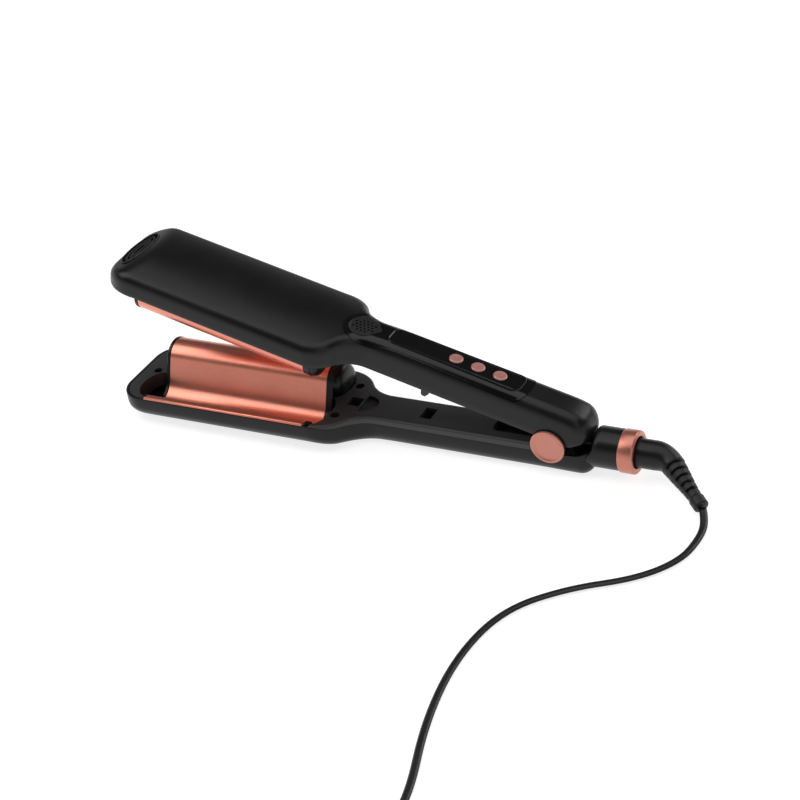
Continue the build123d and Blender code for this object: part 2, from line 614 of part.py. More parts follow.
with BuildPart() as upper_rear_cap:
    add(upturned(plate_cap(PLATE_REAR, REAR_CAP, RIDGE_NOSE)))
save(upper_rear_cap, "upper_rear_cap", OPENED)

with BuildPart() as upper_heater:
    block((PLATE_FRONT + 4, PLATE_REAR - 4), (-BARREL_Y - HEATER / 2, -BARREL_Y + HEATER / 2), (12.5, 23.5))
save(upper_heater, "upper_heater", OPENED)

with BuildPart() as circuit_board:
    block((-104, -27), (-8.5, 8.5), (33.0, 34.6))
save(circuit_board, "circuit_board", OPENED)

with BuildPart() as display_module:
    block((-98, -76), (-6, 6), (34.6, 38.4))
save(display_module, "display_module", OPENED)

with BuildPart() as tact_switches:
    for x in BUTTON_X:
        block((x - 3, x + 3), (-3, 3), (34.6, 36.2))
        with Locations((x, 0, 36.7)):
            Cylinder(1.6, 1.2)
save(tact_switches, "tact_switches", OPENED)

with BuildPart() as upper_screws:
    with Locations([(x, y, 26.4) for x, y in SCREWS]):
        Cylinder(2.2, 2.2)
        with Locations((0, 0, 3.3)):
            Cylinder(1.4, 4.4)
save(upper_screws, "upper_screws", OPENED)

# ---- lead and plug, laid on the table ----
ROUTE = [
    (91.0, -25.0, 4.6),
    (95.2, -33.2, 2.5),
    (96.4, -46.2, 1.7),
    (93.2, -66.2, 1.7),
    (76.0, -88.0, 1.7),
    (47.0, -106.0, 1.7),
    (23.5, -131.0, 1.7),
    (15.5, -168.0, 1.7),
    (21.0, -214.0, 1.7),
    (36.0, -262.0, 1.7),
    (34.5, -287.0, 1.7),
]
corners = [Vector(*point) for point in ROUTE]
radii = []
for before, corner, after in zip(corners, corners[1:], corners[2:]):
    shorter = min((corner - before).length, (after - corner).length)
    turn = (corner - before).get_angle(after - corner)
    radii.append(0.45 * shorter / tan(radians(turn / 2)))
print("lead radii", [round(radius, 1) for radius in radii])

with BuildPart() as lead_tube:
    with BuildLine() as lead_path:
        FilletPolyline(*corners, radius=radii)
    with BuildSketch(Plane(corners[0], z_dir=corners[1] - corners[0])):
        Circle(LEAD_DIAMETER / 2)
    sweep()
save(lead_tube, "lead_tube")
section = pi * LEAD_DIAMETER**2 / 4
path_length = sum(edge.length for edge in lead_path.edges())
print("lead tube", round(path_length, 1), "volume ratio", round(lead_tube.part.volume / (section * path_length), 4))

with BuildPart() as lead_coil:
    with BuildSketch(Plane((COIL_CENTRE[0], COIL_CENTRE[1], 0), x_dir=(1, 0, 0), z_dir=(0, -1, 0))):
        with Locations((COIL_MEAN, COIL_HEIGHT / 2)):
            RectangleRounded(2 * COIL_HALF, COIL_HEIGHT - 0.2, 3.0)
    revolve(axis=Axis((COIL_CENTRE[0], COIL_CENTRE[1], 0), (0, 0, 1)))
save(lead_coil, "lead_coil")

PLUG_X = 100.0
PLUG_Y = COIL_CENTRE[1] - COIL_MEAN
PLUG_Z = 7.0
with BuildPart() as plug_body:
    with BuildSketch(Plane.YZ.offset(PLUG_X)):
        with Locations((PLUG_Y, PLUG_Z)):
            RectangleRounded(14, 12, 4)
    with BuildSketch(Plane.YZ.offset(PLUG_X + 34)):
        with Locations((PLUG_Y, PLUG_Z)):
            RectangleRounded(33, 13.6, 5)
    loft()
    fillet(plug_body.faces().sort_by(Axis.X)[-1].edges(), 1.0)
    with BuildSketch(Plane.YZ.offset(PLUG_X)):
        with Locations((PLUG_Y, PLUG_Z)):
            Circle(4.6)
    with BuildSketch(Plane.YZ.offset(PLUG_X - 16)):
        with Locations((PLUG_Y, 3.8)):
            Circle(3.0)
    loft()
save(plug_body, "plug_body")

with BuildPart() as plug_pins:
    for side in (-1, 1):
        with Locations((PLUG_X + 34 + 9.5, PLUG_Y + side * 9.3, PLUG_Z)):
            Cylinder(2.0, 19, rotation=(0, 90, 0))
    fillet(plug_pins.faces().group_by(Axis.X)[-1].edges(), 0.8)
save(plug_pins, "plug_pins")
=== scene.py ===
"""Looks of the deep waver: satin black shells, rose-gold wave plates and a flat twin lead."""

from math import acos, atan2, ceil, cos, hypot, pi, radians, sin, sqrt

import bmesh
import bpy
from mathutils import Matrix, Vector


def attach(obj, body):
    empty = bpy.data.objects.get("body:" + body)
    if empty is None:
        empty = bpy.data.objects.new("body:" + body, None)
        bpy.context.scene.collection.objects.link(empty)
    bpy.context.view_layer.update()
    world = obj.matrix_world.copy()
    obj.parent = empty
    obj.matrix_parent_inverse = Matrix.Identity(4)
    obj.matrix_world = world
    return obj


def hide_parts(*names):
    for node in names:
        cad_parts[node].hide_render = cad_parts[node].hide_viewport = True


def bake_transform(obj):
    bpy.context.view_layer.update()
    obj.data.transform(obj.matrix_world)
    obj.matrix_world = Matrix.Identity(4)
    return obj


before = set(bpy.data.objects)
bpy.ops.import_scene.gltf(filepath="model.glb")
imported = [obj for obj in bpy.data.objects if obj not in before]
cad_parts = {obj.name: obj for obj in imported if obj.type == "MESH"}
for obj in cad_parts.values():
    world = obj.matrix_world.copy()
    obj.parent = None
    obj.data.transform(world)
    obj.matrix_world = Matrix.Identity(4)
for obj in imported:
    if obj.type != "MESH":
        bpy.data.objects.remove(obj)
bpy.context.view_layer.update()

# The arms are drawn closed, in mm, with the hinge above x = 0 and the table at z = 0.
HINGE_X = 90.25
HINGE_Z = 18.9
OPEN_ANGLE = radians(15.3)
MM = Matrix.Scale(0.001, 4)
ON_TABLE = MM @ Matrix.Translation((HINGE_X, 0, 0))
OPENED = (MM @ Matrix.Translation((HINGE_X, 0, HINGE_Z)) @ Matrix.Rotation(OPEN_ANGLE, 4, "Y")
          @ Matrix.Translation((0, 0, -HINGE_Z)))

HEAD_HALF = 31.0
HANDLE_HALF = 12.5
UPPER_SHOULDER = (-144.0, -112.0)
LOWER_SHOULDER = (-142.5, -106.5)
TIP_RADIUS = 17.0
LOWER_TIP, LOWER_REAR = -273.2, 24.0
UPPER_TIP, UPPER_REAR = -275.3, 20.9
LOWER_RIM, HANDLE_RIM, UPPER_RIM = 18.0, 14.5, 22.5

MID_Z = 20.25
BARREL_Y, BARREL_RISE = 13.4, 1.95
BARREL_RADIUS, VALLEY_RADIUS = 11.3, 12.0
PLATE_GAUGE, PLATE_LIP = 1.2, 28.2
PLATE_FRONT, PLATE_REAR = -253.3, -144.8
FRONT_CAP, REAR_CAP = 2.1, 4.3

NECK_Z = 15.0
VENT_X = -120.3
BUTTON_X = (-64.3, -51.0, -37.7)
SCREW_X, SCREW_Y, SCREW_HOLE = -130.7, 15.6, 2.75
TIP_SCREW_X, TIP_SCREW_HOLE = -262.3, 2.6
# Cutters reach past every surface: SIDES across the arms, ABOVE upwards.
SIDES = (-50, 50)
ABOVE = 60


# ------------------------ numbers
def mix(a, b, t):
    return a + (b - a) * t


def smooth(low, high, x):
    """0 below low, 1 above high, smooth in between."""
    t = min(1.0, max(0.0, (x - low) / (high - low)))
    return t * t * (3 - 2 * t)


def soft_min(a, b, k):
    """The smaller of two heights, rounded over where they cross."""
    h = max(k - abs(a - b), 0.0) / k
    return min(a, b) - h * h * k / 4


def half_width(x, shoulder):
    """Half width of an arm at x; its shoulder is two equal arcs."""
    start, end = shoulder
    step = HEAD_HALF - HANDLE_HALF
    bend = ((end - start) ** 2 + step ** 2) / (4 * step)
    if x <= start:
        return HEAD_HALF
    if x >= end:
        return HANDLE_HALF
    if x <= (start + end) / 2:
        return HEAD_HALF - bend + sqrt(bend ** 2 - (x - start) ** 2)
    return HANDLE_HALF + bend - sqrt(bend ** 2 - (end - x) ** 2)


# ------------------------ meshes
def mesh_object(name, verts, faces):
    mesh = bpy.data.meshes.new(name)
    mesh.from_pydata([tuple(v) for v in verts], [], faces)
    mesh.validate()
    mesh.update()
    obj = bpy.data.objects.new(name, mesh)
    bpy.context.scene.collection.objects.link(obj)
    return obj


def skin(rings, ends=False):
    """Verts and faces of a surface through rings of equal count; ends fills the first and the last."""
    count = len(rings[0])
    verts = [point for ring in rings for point in ring]
    faces = []
    for r in range(len(rings) - 1):
        for k in range(count):
            a, b = r * count + k, r * count + (k + 1) % count
            faces.append((a, b, b + count, a + count))
    if ends:
        faces.append(tuple(reversed(range(count))))
        faces.append(tuple(range((len(rings) - 1) * count, len(rings) * count)))
    return verts, faces


def outward(obj):
    """Merge doubled points and turn every face outwards."""
    bm = bmesh.new()
    bm.from_mesh(obj.data)
    bmesh.ops.remove_doubles(bm, verts=bm.verts, dist=1e-4)
    bmesh.ops.dissolve_degenerate(bm, edges=bm.edges, dist=1e-5)
    bmesh.ops.recalc_face_normals(bm, faces=bm.faces)
    bm.to_mesh(obj.data)
    bm.free()
    return obj


def solid(name, rings, ends=True):
    """Closed mesh through rings."""
    return outward(mesh_object(name, *skin(rings, ends)))


def baked(obj):
    """Apply an object's modifiers."""
    mesh = bpy.data.meshes.new_from_object(obj.evaluated_get(bpy.context.evaluated_depsgraph_get()))
    obj.modifiers.clear()
    obj.data = mesh
    return obj


def joined(name, objects):
    """One object from several."""
    verts, faces = [], []
    for obj in objects:
        start = len(verts)
        verts += [obj.matrix_world @ v.co for v in obj.data.vertices]
        faces += [[start + i for i in polygon.vertices] for polygon in obj.data.polygons]
        bpy.data.objects.remove(obj)
    return mesh_object(name, verts, faces)


def combine(obj, others, operation):
    """Boolean of an object with others that don't touch each other; the others are used up."""
    other = others[0] if len(others) == 1 else joined("other", others)
    change = obj.modifiers.new("change", "BOOLEAN")
    change.operation, change.solver, change.object = operation, "EXACT", other
    bpy.context.view_layer.update()
    baked(obj)
    bpy.data.objects.remove(other)
    return obj


def prism(outline, low, high, name="prism"):
    """Closed prism over a flat outline, from low to high along Z."""
    ends = [[(x, y, z) for x, y in outline] for z in (low, high)]
    return solid(name, ends)


def bar(x, y, z):
    """Box between two values of x, y and z."""
    return prism([(x[0], y[0]), (x[1], y[0]), (x[1], y[1]), (x[0], y[1])], z[0], z[1])


def ellipse_at(x, y, rx, ry, steps=72):
    return [(x + rx * cos(2 * pi * k / steps), y + ry * sin(2 * pi * k / steps)) for k in range(steps)]


def rounded(points, radius, steps=6):
    """Closed outline with every corner rounded; radius is one number or one per corner."""
    out = []
    for i, point in enumerate(points):
        r = radius[i] if isinstance(radius, (list, tuple)) else radius
        p = Vector(point)
        a = (Vector(points[i - 1]) - p).normalized()
        b = (Vector(points[(i + 1) % len(points)]) - p).normalized()
        half = a.angle(b) / 2
        reach = r / max(0.2, sin(half) / cos(half))
        centre = p + (a + b).normalized() * (r / sin(half))
        start, end = p + a * reach - centre, p + b * reach - centre
        out += [tuple(centre + start.slerp(end, s / steps) * r) for s in range(steps + 1)]
    return out


def lathe(profile, axis="X", centre=(0, 0, 0), steps=72, name="lathe"):
    """Turned piece: profile is (along, radius) pairs."""
    rings = []
    for along, radius in profile:
        ring = []
        for k in range(steps):
            a = 2 * pi * k / steps
            u, v = radius * cos(a), radius * sin(a)
            point = {"X": (along, u, v), "Y": (u, along, v), "Z": (u, v, along)}[axis]
            ring.append(Vector(point) + Vector(centre))
        rings.append(ring)
    return solid(name, rings)


def rod(start, end, radius, steps=24, ease=0.3, name="rod"):
    """Straight round bar with eased ends."""
    start, end = Vector(start), Vector(end)
    along = (end - start).normalized()
    side = along.orthogonal().normalized()
    other = along.cross(side)
    length = (end - start).length
    eased = [(0, radius - ease), (ease * 0.3, radius - ease * 0.3), (ease, radius)]
    angles = [2 * pi * k / steps for k in range(steps)]
    rings = []
    for s, r in eased + [(length - s, r) for s, r in reversed(eased)]:
        centre = start + along * s
        rings.append([centre + side * (r * cos(a)) + other * (r * sin(a)) for a in angles])
    return solid(name, rings)


def place(obj, where, material, body, stands_for=(), bevel=0.0, sharp=30.0, steps=2):
    """Put a finished piece in its place, shade it, paint it and hang it on its body."""
    obj.data.transform(where)
    for polygon in obj.data.polygons:
        polygon.use_smooth = True
    obj.data.set_sharp_from_angle(angle=radians(sharp))
    if bevel:
        edge = obj.modifiers.new("edge", "BEVEL")
        edge.width, edge.segments, edge.limit_method = bevel / 1000, steps, "ANGLE"
        edge.angle_limit = radians(sharp)
        edge.harden_normals = True
        edge.use_clamp_overlap = True
    obj.data.materials.clear()
    obj.data.materials.append(material)
    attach(obj, body)
    if stands_for:
        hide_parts(*stands_for)
    return obj


# ------------------------ materials
def nodes_of(name):
    material = bpy.data.materials.new(name)
    material.use_nodes = True
    tree = material.node_tree
    return material, tree, tree.nodes["Principled BSDF"]


def add_noise(tree, scale, detail=4.0, roughness=0.55, stretch=(1, 1, 1)):
    """Noise in object space, in cycles per metre, pulled out along an axis if asked."""
    coordinates = tree.nodes.new("ShaderNodeTexCoord")
    mapping = tree.nodes.new("ShaderNodeMapping")
    mapping.inputs["Scale"].default_value = stretch
    noise = tree.nodes.new("ShaderNodeTexNoise")
    noise.inputs["Scale"].default_value = scale
    noise.inputs["Detail"].default_value = detail
    noise.inputs["Roughness"].default_value = roughness
    tree.links.new(coordinates.outputs["Object"], mapping.inputs["Vector"])
    tree.links.new(mapping.outputs["Vector"], noise.inputs["Vector"])
    return noise.outputs["Fac"]


def spread(tree, value, low, high, from_low=0.3, from_high=0.7):
    """Map a texture's value to a range."""
    node = tree.nodes.new("ShaderNodeMapRange")
    node.inputs["From Min"].default_value = from_low
    node.inputs["From Max"].default_value = from_high
    node.inputs["To Min"].default_value = low
    node.inputs["To Max"].default_value = high
    tree.links.new(value, node.inputs["Value"])
    return node.outputs["Result"]


def two_tone(tree, value, first, second):
    node = tree.nodes.new("ShaderNodeMix")
    node.data_type = "RGBA"
    node.inputs["A"].default_value = (*first, 1)
    node.inputs["B"].default_value = (*second, 1)
    tree.links.new(value, node.inputs["Factor"])
    return node.outputs["Result"]


def bump(tree, shader, value, strength, distance):
    node = tree.nodes.new("ShaderNodeBump")
    node.inputs["Strength"].default_value = strength
    node.inputs["Distance"].default_value = distance
    tree.links.new(value, node.inputs["Height"])
    tree.links.new(node.outputs["Normal"], shader.inputs["Normal"])


def moulded(name, dark, light, rough, grain_scale, grain, coat=0.0, coat_rough=0.1, specular=0.5):
    """Moulded plastic: fine spark-eroded grain, faint handling marks in the gloss."""
    material, tree, shader = nodes_of(name)
    fine = add_noise(tree, grain_scale, 3.0, 0.6)
    broad = add_noise(tree, 42.0, 5.0, 0.6)
    colour = two_tone(tree, spread(tree, broad, 0, 1), dark, light)
    tree.links.new(colour, shader.inputs["Base Color"])
    tree.links.new(spread(tree, broad, rough - 0.035, rough + 0.035), shader.inputs["Roughness"])
    shader.inputs["Specular IOR Level"].default_value = specular
    shader.inputs["Coat Weight"].default_value = coat
    shader.inputs["Coat Roughness"].default_value = coat_rough
    bump(tree, shader, fine, grain, 0.0001)
    return material


def metallic(name, dark, light, rough, grain_scale, grain, stretch=(1, 1, 1), metal=1.0, coat=0.0):
    """Metallic lacquer or metal: bright flakes in a fine grain."""
    material, tree, shader = nodes_of(name)
    fine = add_noise(tree, grain_scale, 4.0, 0.7, stretch)
    broad = add_noise(tree, 60.0, 4.0, 0.6)
    colour = two_tone(tree, spread(tree, fine, 0, 1, 0.35, 0.65), dark, light)
    tree.links.new(colour, shader.inputs["Base Color"])
    tree.links.new(spread(tree, broad, rough - 0.03, rough + 0.03), shader.inputs["Roughness"])
    shader.inputs["Metallic"].default_value = metal
    shader.inputs["Coat Weight"].default_value = coat
    shader.inputs["Coat Roughness"].default_value = 0.15
    bump(tree, shader, fine, grain, 0.00006)
    return material


SATIN = moulded("satin_black", (0.0030, 0.0029, 0.0033), (0.0044, 0.0043, 0.0049), 0.33, 2600, 0.08,
                specular=0.27)
# Handle and tip covers: the base colour is set lighter than the shells' as painted sheen on their flat tops;
# the rougher, stronger gloss is their own.
COVER = moulded("cover_black", (0.0125, 0.0122, 0.0134), (0.0165, 0.0160, 0.0176), 0.50, 2200, 0.12,
                specular=0.55)
CAP_BLACK = moulded("cap_black", (0.0030, 0.0029, 0.0033), (0.0044, 0.0042, 0.0047), 0.32, 2600, 0.06,
                    specular=0.26)
GLOSS = moulded("panel_black", (0.0014, 0.0014, 0.0016), (0.0021, 0.0020, 0.0024), 0.20, 900, 0.01,
                specular=0.30)
LENS = moulded("lens_black", (0.0014, 0.0014, 0.0017), (0.0022, 0.0022, 0.0026), 0.20, 700, 0.01,
               coat=0.15, coat_rough=0.12, specular=0.28)
VENT_BLACK = moulded("vent_black", (0.0095, 0.0090, 0.0103), (0.0130, 0.0125, 0.0140), 0.42, 2600, 0.12,
                     specular=0.35)
RUBBER = moulded("relief_black", (0.0040, 0.0039, 0.0043), (0.0060, 0.0058, 0.0064), 0.44, 1800, 0.16,
                 specular=0.30)
JACKET = moulded("jacket_black", (0.0055, 0.0053, 0.0060), (0.0080, 0.0077, 0.0086), 0.38, 1500, 0.12,
                 specular=0.40)
PLATE = metallic("rose_plate", (0.68, 0.225, 0.150), (0.78, 0.285, 0.205), 0.31, 2600, 0.12,
                 stretch=(0.6, 1, 1), metal=0.92, coat=0.25)
ROSE = metallic("rose_trim", (0.47, 0.170, 0.124), (0.53, 0.200, 0.148), 0.32, 2600, 0.05,
                metal=0.75, coat=0.10)
ROSE_CAP = metallic("rose_cap", (0.49, 0.190, 0.144), (0.54, 0.218, 0.166), 0.34, 2600, 0.04, metal=0.6)
ROSE_BUTTON = metallic("rose_button", (0.57, 0.27, 0.232), (0.63, 0.30, 0.258), 0.36, 2600, 0.04, metal=0.6)
STEEL = metallic("inner_steel", (0.30, 0.30, 0.31), (0.45, 0.45, 0.46), 0.35, 1500, 0.2, stretch=(1, 8, 8))
BRASS = metallic("pin_brass", (0.62, 0.50, 0.28), (0.80, 0.66, 0.40), 0.22, 1500, 0.1, stretch=(1, 6, 6))
BLACK_STEEL = metallic("black_screw", (0.03, 0.03, 0.032), (0.06, 0.06, 0.065), 0.38, 1500, 0.2)
CERAMIC = moulded("heater_ceramic", (0.62, 0.60, 0.55), (0.72, 0.70, 0.65), 0.7, 1500, 0.3)
BOARD = moulded("board_green", (0.015, 0.11, 0.04), (0.02, 0.14, 0.05), 0.45, 900, 0.2)
BUSH = moulded("bush_grey", (0.20, 0.195, 0.18), (0.25, 0.245, 0.23), 0.5, 1800, 0.2)

# The pieces inside keep their CAD shape and only get a material.
INSIDE = (
    (BLACK_STEEL, ("lower_screws", "upper_screws")),
    (STEEL, ("hinge_bracket", "hinge_pin", "hinge_spring")),
    (CERAMIC, ("lower_heater", "upper_heater")),
    (BUSH, ("lower_leads", "swivel_bush")),
    (BOARD, ("circuit_board",)),
    (LENS, ("display_module",)),
    (CAP_BLACK, ("tact_switches",)),
)
for material, nodes in INSIDE:
    for node in nodes:
        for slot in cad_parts[node].material_slots:
            slot.material = material


# ------------------------ camera and light
camera = bpy.data.objects.new("camera", bpy.data.cameras.new("camera"))
camera.data.lens = 85.5
camera.data.sensor_width = 36
azimuth, elevation, roll = radians(31.44), radians(32.21), radians(-9.05)
back = Vector((sin(azimuth) * cos(elevation), -cos(azimuth) * cos(elevation), sin(elevation)))
level = Vector((cos(azimuth), sin(azimuth), 0))
above = back.cross(level)
right = level * cos(roll) + above * sin(roll)
up = above * cos(roll) - level * sin(roll)
target = Vector((-0.00544, 0, 0.02472))
rotation = Matrix((right, up, back)).transposed().to_4x4()
camera.matrix_world = Matrix.Translation(target + back * 1.07571) @ rotation
camera.data.clip_start, camera.data.clip_end = 0.01, 30
bpy.context.scene.collection.objects.link(camera)
bpy.context.scene.camera = camera

world = bpy.data.worlds.new("studio")
world.use_nodes = True
sky_tree = world.node_tree
sky_way = sky_tree.nodes.new("ShaderNodeTexCoord")
sky_parts = sky_tree.nodes.new("ShaderNodeSeparateXYZ")
sky_ramp = sky_tree.nodes.new("ShaderNodeValToRGB")
pale_low, dark_high = sky_ramp.color_ramp.elements
pale_low.position, pale_low.color = 0.12, (0.93, 0.93, 0.93, 1)
dark_high.position, dark_high.color = 0.34, (0.09, 0.09, 0.093, 1)
sky_tree.links.new(sky_way.outputs["Generated"], sky_parts.inputs["Vector"])
sky_tree.links.new(sky_parts.outputs["Z"], sky_ramp.inputs["Fac"])
sky_tree.links.new(sky_ramp.outputs["Color"], sky_tree.nodes["Background"].inputs["Color"])
sky_tree.nodes["Background"].inputs["Strength"].default_value = 1.0
bpy.context.scene.world = world
bpy.context.scene.view_settings.view_transform = "Standard"


def lamp(name, where, aim, size, power):
    data = bpy.data.lights.new(name, "AREA")
    data.shape, data.size, data.size_y, data.energy = "RECTANGLE", size[0], size[1], power
    obj = bpy.data.objects.new(name, data)
    obj.location = where
    obj.rotation_mode = "QUATERNION"
    obj.rotation_quaternion = (Vector(aim) - Vector(where)).to_track_quat("-Z", "Y")
    bpy.context.scene.collection.objects.link(obj)


lamp("overhead", (0.0, 0.0, 2.5), (0, 0, 0), (2.6, 2.6), 34)
lamp("key", (-1.0, -0.45, 1.3), (-0.05, 0, 0.03), (1.2, 1.0), 9)
lamp("back", (0.75, 1.15, 0.9), (0.1, 0, 0.03), (0.9, 0.6), 6)
lamp("fill", (1.2, -1.2, 1.2), (0.05, 0, 0.03), (1.0, 1.0), 3)

floor_material, _, floor_shader = nodes_of("pale_floor")
floor_shader.inputs["Base Color"].default_value = (0.42, 0.42, 0.42, 1)
floor_shader.inputs["Emission Color"].default_value = (1, 1, 1, 1)
floor_shader.inputs["Emission Strength"].default_value = 0.78
floor_shader.inputs["Roughness"].default_value = 0.85
floor_shader.inputs["Specular IOR Level"].default_value = 0.1
floor = mesh_object("floor", [(-9, -9, 0), (9, -9, 0), (9, 9, 0), (-9, 9, 0)], [(0, 1, 2, 3)])
floor.data.materials.append(floor_material)


# ------------------------ lead
ROUTE = [
    (91.0, -25.0, 4.6), (95.2, -33.2, 2.5), (96.4, -46.2, 1.7), (93.2, -66.2, 1.7), (77.0, -86.2, 1.7),
    (47.0, -103.6, 1.7), (22.8, -128.8, 1.7), (15.5, -168.0, 1.7), (21.0, -214.0, 1.7), (36.0, -262.0, 1.7),
    (34.5, -287.0, 1.7),
]
COIL = (60.0, -308.0)
COIL_LAYERS = ((28.4, 18.7), (19.1, 28.0), (26.5, 22.9))
LEAD_WIDTH, LEAD_THICK = 4.2, 2.5
PLUG_Y = COIL[1] - 23.5


def coil_points():
    """Turns of the put-away length: three layers, in, out and in again."""
    points = []
    angle = radians(152)
    per_layer = 41
    for layer, (first, last) in enumerate(COIL_LAYERS):
        for k in range(per_layer):
            t = k / per_layer
            radius = mix(first, last, t) + 0.25 * sin(3.1 * angle)
            height = 1.5 + 2.55 * layer - 0.6 * (1 - smooth(0, 0.06, t)) * (layer > 0)
            points.append((COIL[0] + radius * cos(angle), COIL[1] + radius * sin(angle), height))
            angle += pi / 6
    return points


def lead_curve():
    tail = ((0.5, -0.3, 6.9), (9, 0, 6.8), (15, 0, 6.2), (21, 0, 4.8), (27, 0, 4.0))
    points = ROUTE + coil_points() + [(COIL[0] + x, PLUG_Y + y, z) for x, y, z in tail]
    data = bpy.data.curves.new("lead_line", "CURVE")
    data.dimensions = "3D"
    line = data.splines.new("NURBS")
    line.points.add(len(points) - 1)
    for target_point, (x, y, z) in zip(line.points, points):
        target_point.co = ((x + HINGE_X) / 1000, y / 1000, z / 1000, 1)
    line.order_u = 3
    line.use_endpoint_u = True
    line.resolution_u = 8
    curve = bpy.data.objects.new("lead_line", data)
    bpy.context.scene.collection.objects.link(curve)
    bpy.context.view_layer.update()
    mesh = bpy.data.meshes.new_from_object(curve)
    path = [v.co.copy() for v in mesh.vertices]
    bpy.data.objects.remove(curve)
    return path


def flat_twin(path):
    """Flat twin jacket along a path: two round cores with a shallow groove between them."""
    section = []
    for k in range(28):
        a = 2 * pi * k / 28
        u = cos(a) * LEAD_WIDTH / 2
        pinch = 1 - 0.20 * (1 - smooth(0.0, 0.85, abs(u)))
        flattened = sin(a) ** 3 * 0.25 * LEAD_THICK / 2 * pinch
        section.append((u, flattened + sin(a) * 0.75 * LEAD_THICK / 2 * pinch))
    rings = []
    for i, point in enumerate(path):
        along = (path[min(i + 1, len(path) - 1)] - path[max(i - 1, 0)]).normalized()
        side = Vector((0, 0, 1)).cross(along).normalized()
        top = along.cross(side)
        rings.append([point + (side * u + top * v) / 1000 for u, v in section])
    return solid("lead", rings)


lead_path = lead_curve()
lead = flat_twin(lead_path)
for polygon in lead.data.polygons:
    polygon.use_smooth = True
lead.data.materials.append(JACKET)
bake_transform(lead)
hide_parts("lead_tube", "lead_coil")


# ------------------------ arm surfaces
def with_inward(loop, turned_left=False):
    """Points of a closed loop, each with the direction into it; turned_left says which way the loop runs."""
    points = []
    for i, (x, y) in enumerate(loop):
        before, after = loop[i - 1], loop[(i + 1) % len(loop)]
        along = Vector((after[0] - before[0], after[1] - before[1])).normalized()
        points.append((x, y, -along.y, along.x) if turned_left else (x, y, along.y, -along.x))
    return points


def arm_outline(tip, rear, rear_radius, shoulder):
    """Closed outline of an arm and the inward direction at each point."""
    quarter = [pi / 2 * k / 14 for k in range(15)]
    half = [(tip, (HEAD_HALF - TIP_RADIUS) * k / 9) for k in range(9)]
    half += [(tip + TIP_RADIUS * (1 - cos(a)), HEAD_HALF - TIP_RADIUS + TIP_RADIUS * sin(a)) for a in quarter]
    half += [(mix(tip + TIP_RADIUS, shoulder[0], k / 48), HEAD_HALF) for k in range(1, 48)]
    for k in range(41):
        x = mix(shoulder[0], shoulder[1], k / 40)
        half.append((x, half_width(x, shoulder)))
    corner_x, corner_y = rear - rear_radius, HANDLE_HALF - rear_radius
    half += [(mix(shoulder[1], corner_x, k / 50), HANDLE_HALF) for k in range(1, 50)]
    half += [(corner_x + rear_radius * sin(a), corner_y + rear_radius * cos(a)) for a in quarter]
    half += [(rear, corner_y * (1 - k / 3)) for k in range(1, 4)]
    return with_inward(half + [(x, -y) for x, y in reversed(half[1:-1])])


def level_at(height, x, y):
    """A height is a number or a function of x and y."""
    return height(x, y) if callable(height) else height


def inset_ring(outline, inset, height, lift=0):
    """Ring inside the outline at a height plus a lift; inset and lift are one number or one per point."""
    ring = []
    for i, (x, y, nx, ny) in enumerate(outline):
        d = inset[i] if isinstance(inset, list) else inset
        up_by = lift[i] if isinstance(lift, list) else lift
        px, py = x + nx * d, y + ny * d
        ring.append((px, py, level_at(height, px, py) + up_by))
    return ring


def closing_rings(ring, middle, height, steps, lift=0):
    """Rings from a ring in to the middle stretch of the centre line, so the surface closes without a seam."""
    first_x, last_x = middle
    rings = []
    for s in range(1, steps + 1):
        t = 1 - (1 - s / steps) ** 1.3
        inner = [(mix(x, min(last_x, max(first_x, x)), t), mix(y, 0.0, t)) for x, y, z in ring]
        rings.append([(x, y, level_at(height, x, y) + lift) for x, y in inner])
    return rings


def crown_roll(x):
    return mix(5.0, 7.6, smooth(-142, -100, x))


def crown(x, y):
    """Top of the upper arm, before its edges roll over."""
    apex = mix(38.9, 41.6, smooth(-150, -92, x))
    apex -= 4.4 * (y / HEAD_HALF) ** 2 * (1 - smooth(-140, -100, x))
    facet = 29.9 + (x - UPPER_TIP) * 0.494 - 0.0012 * y * y
    apex = soft_min(apex, facet, 2.6)
    if x > 0:
        apex -= 4.5 * (x / UPPER_REAR) ** 3
    return apex


def shell_top(x, y):
    """Finished surface of the upper arm over the handle and shoulders."""
    slope = (half_width(x + 0.05, UPPER_SHOULDER) - half_width(x - 0.05, UPPER_SHOULDER)) / 0.1
    depth = max(0.0, (half_width(x, UPPER_SHOULDER) - abs(y)) / sqrt(1 + slope ** 2))
    roll = crown_roll(x)
    drop = roll - sqrt(max(roll ** 2 - (roll - depth) ** 2, 0.0)) if depth < roll else 0.0
    return crown(x, y) - drop


def upper_rim(x, y=0):
    return UPPER_RIM + 4.6 * smooth(9.0, 20.5, x)


def upper_ceiling(x, y):
    """Inside face of the upper shell along its walls."""
    return max(upper_rim(x) + 0.9, min(upper_rim(x) + 6, crown(x, y) - 2.2))


def head_ceiling(x, y):
    """Inside face of the upper shell away from its walls, raised where the lower barrel closes into it."""
    raised = smooth(-258.0, -255.6, x) * (1 - smooth(-134.0, -131.0, x))
    return mix(upper_ceiling(x, y), crown(x, y) - 2.6, raised)


upper_outline = arm_outline(UPPER_TIP, UPPER_REAR, 9.6, UPPER_SHOULDER)
UPPER_MIDDLE = (UPPER_TIP + 24, UPPER_REAR - 10.4)


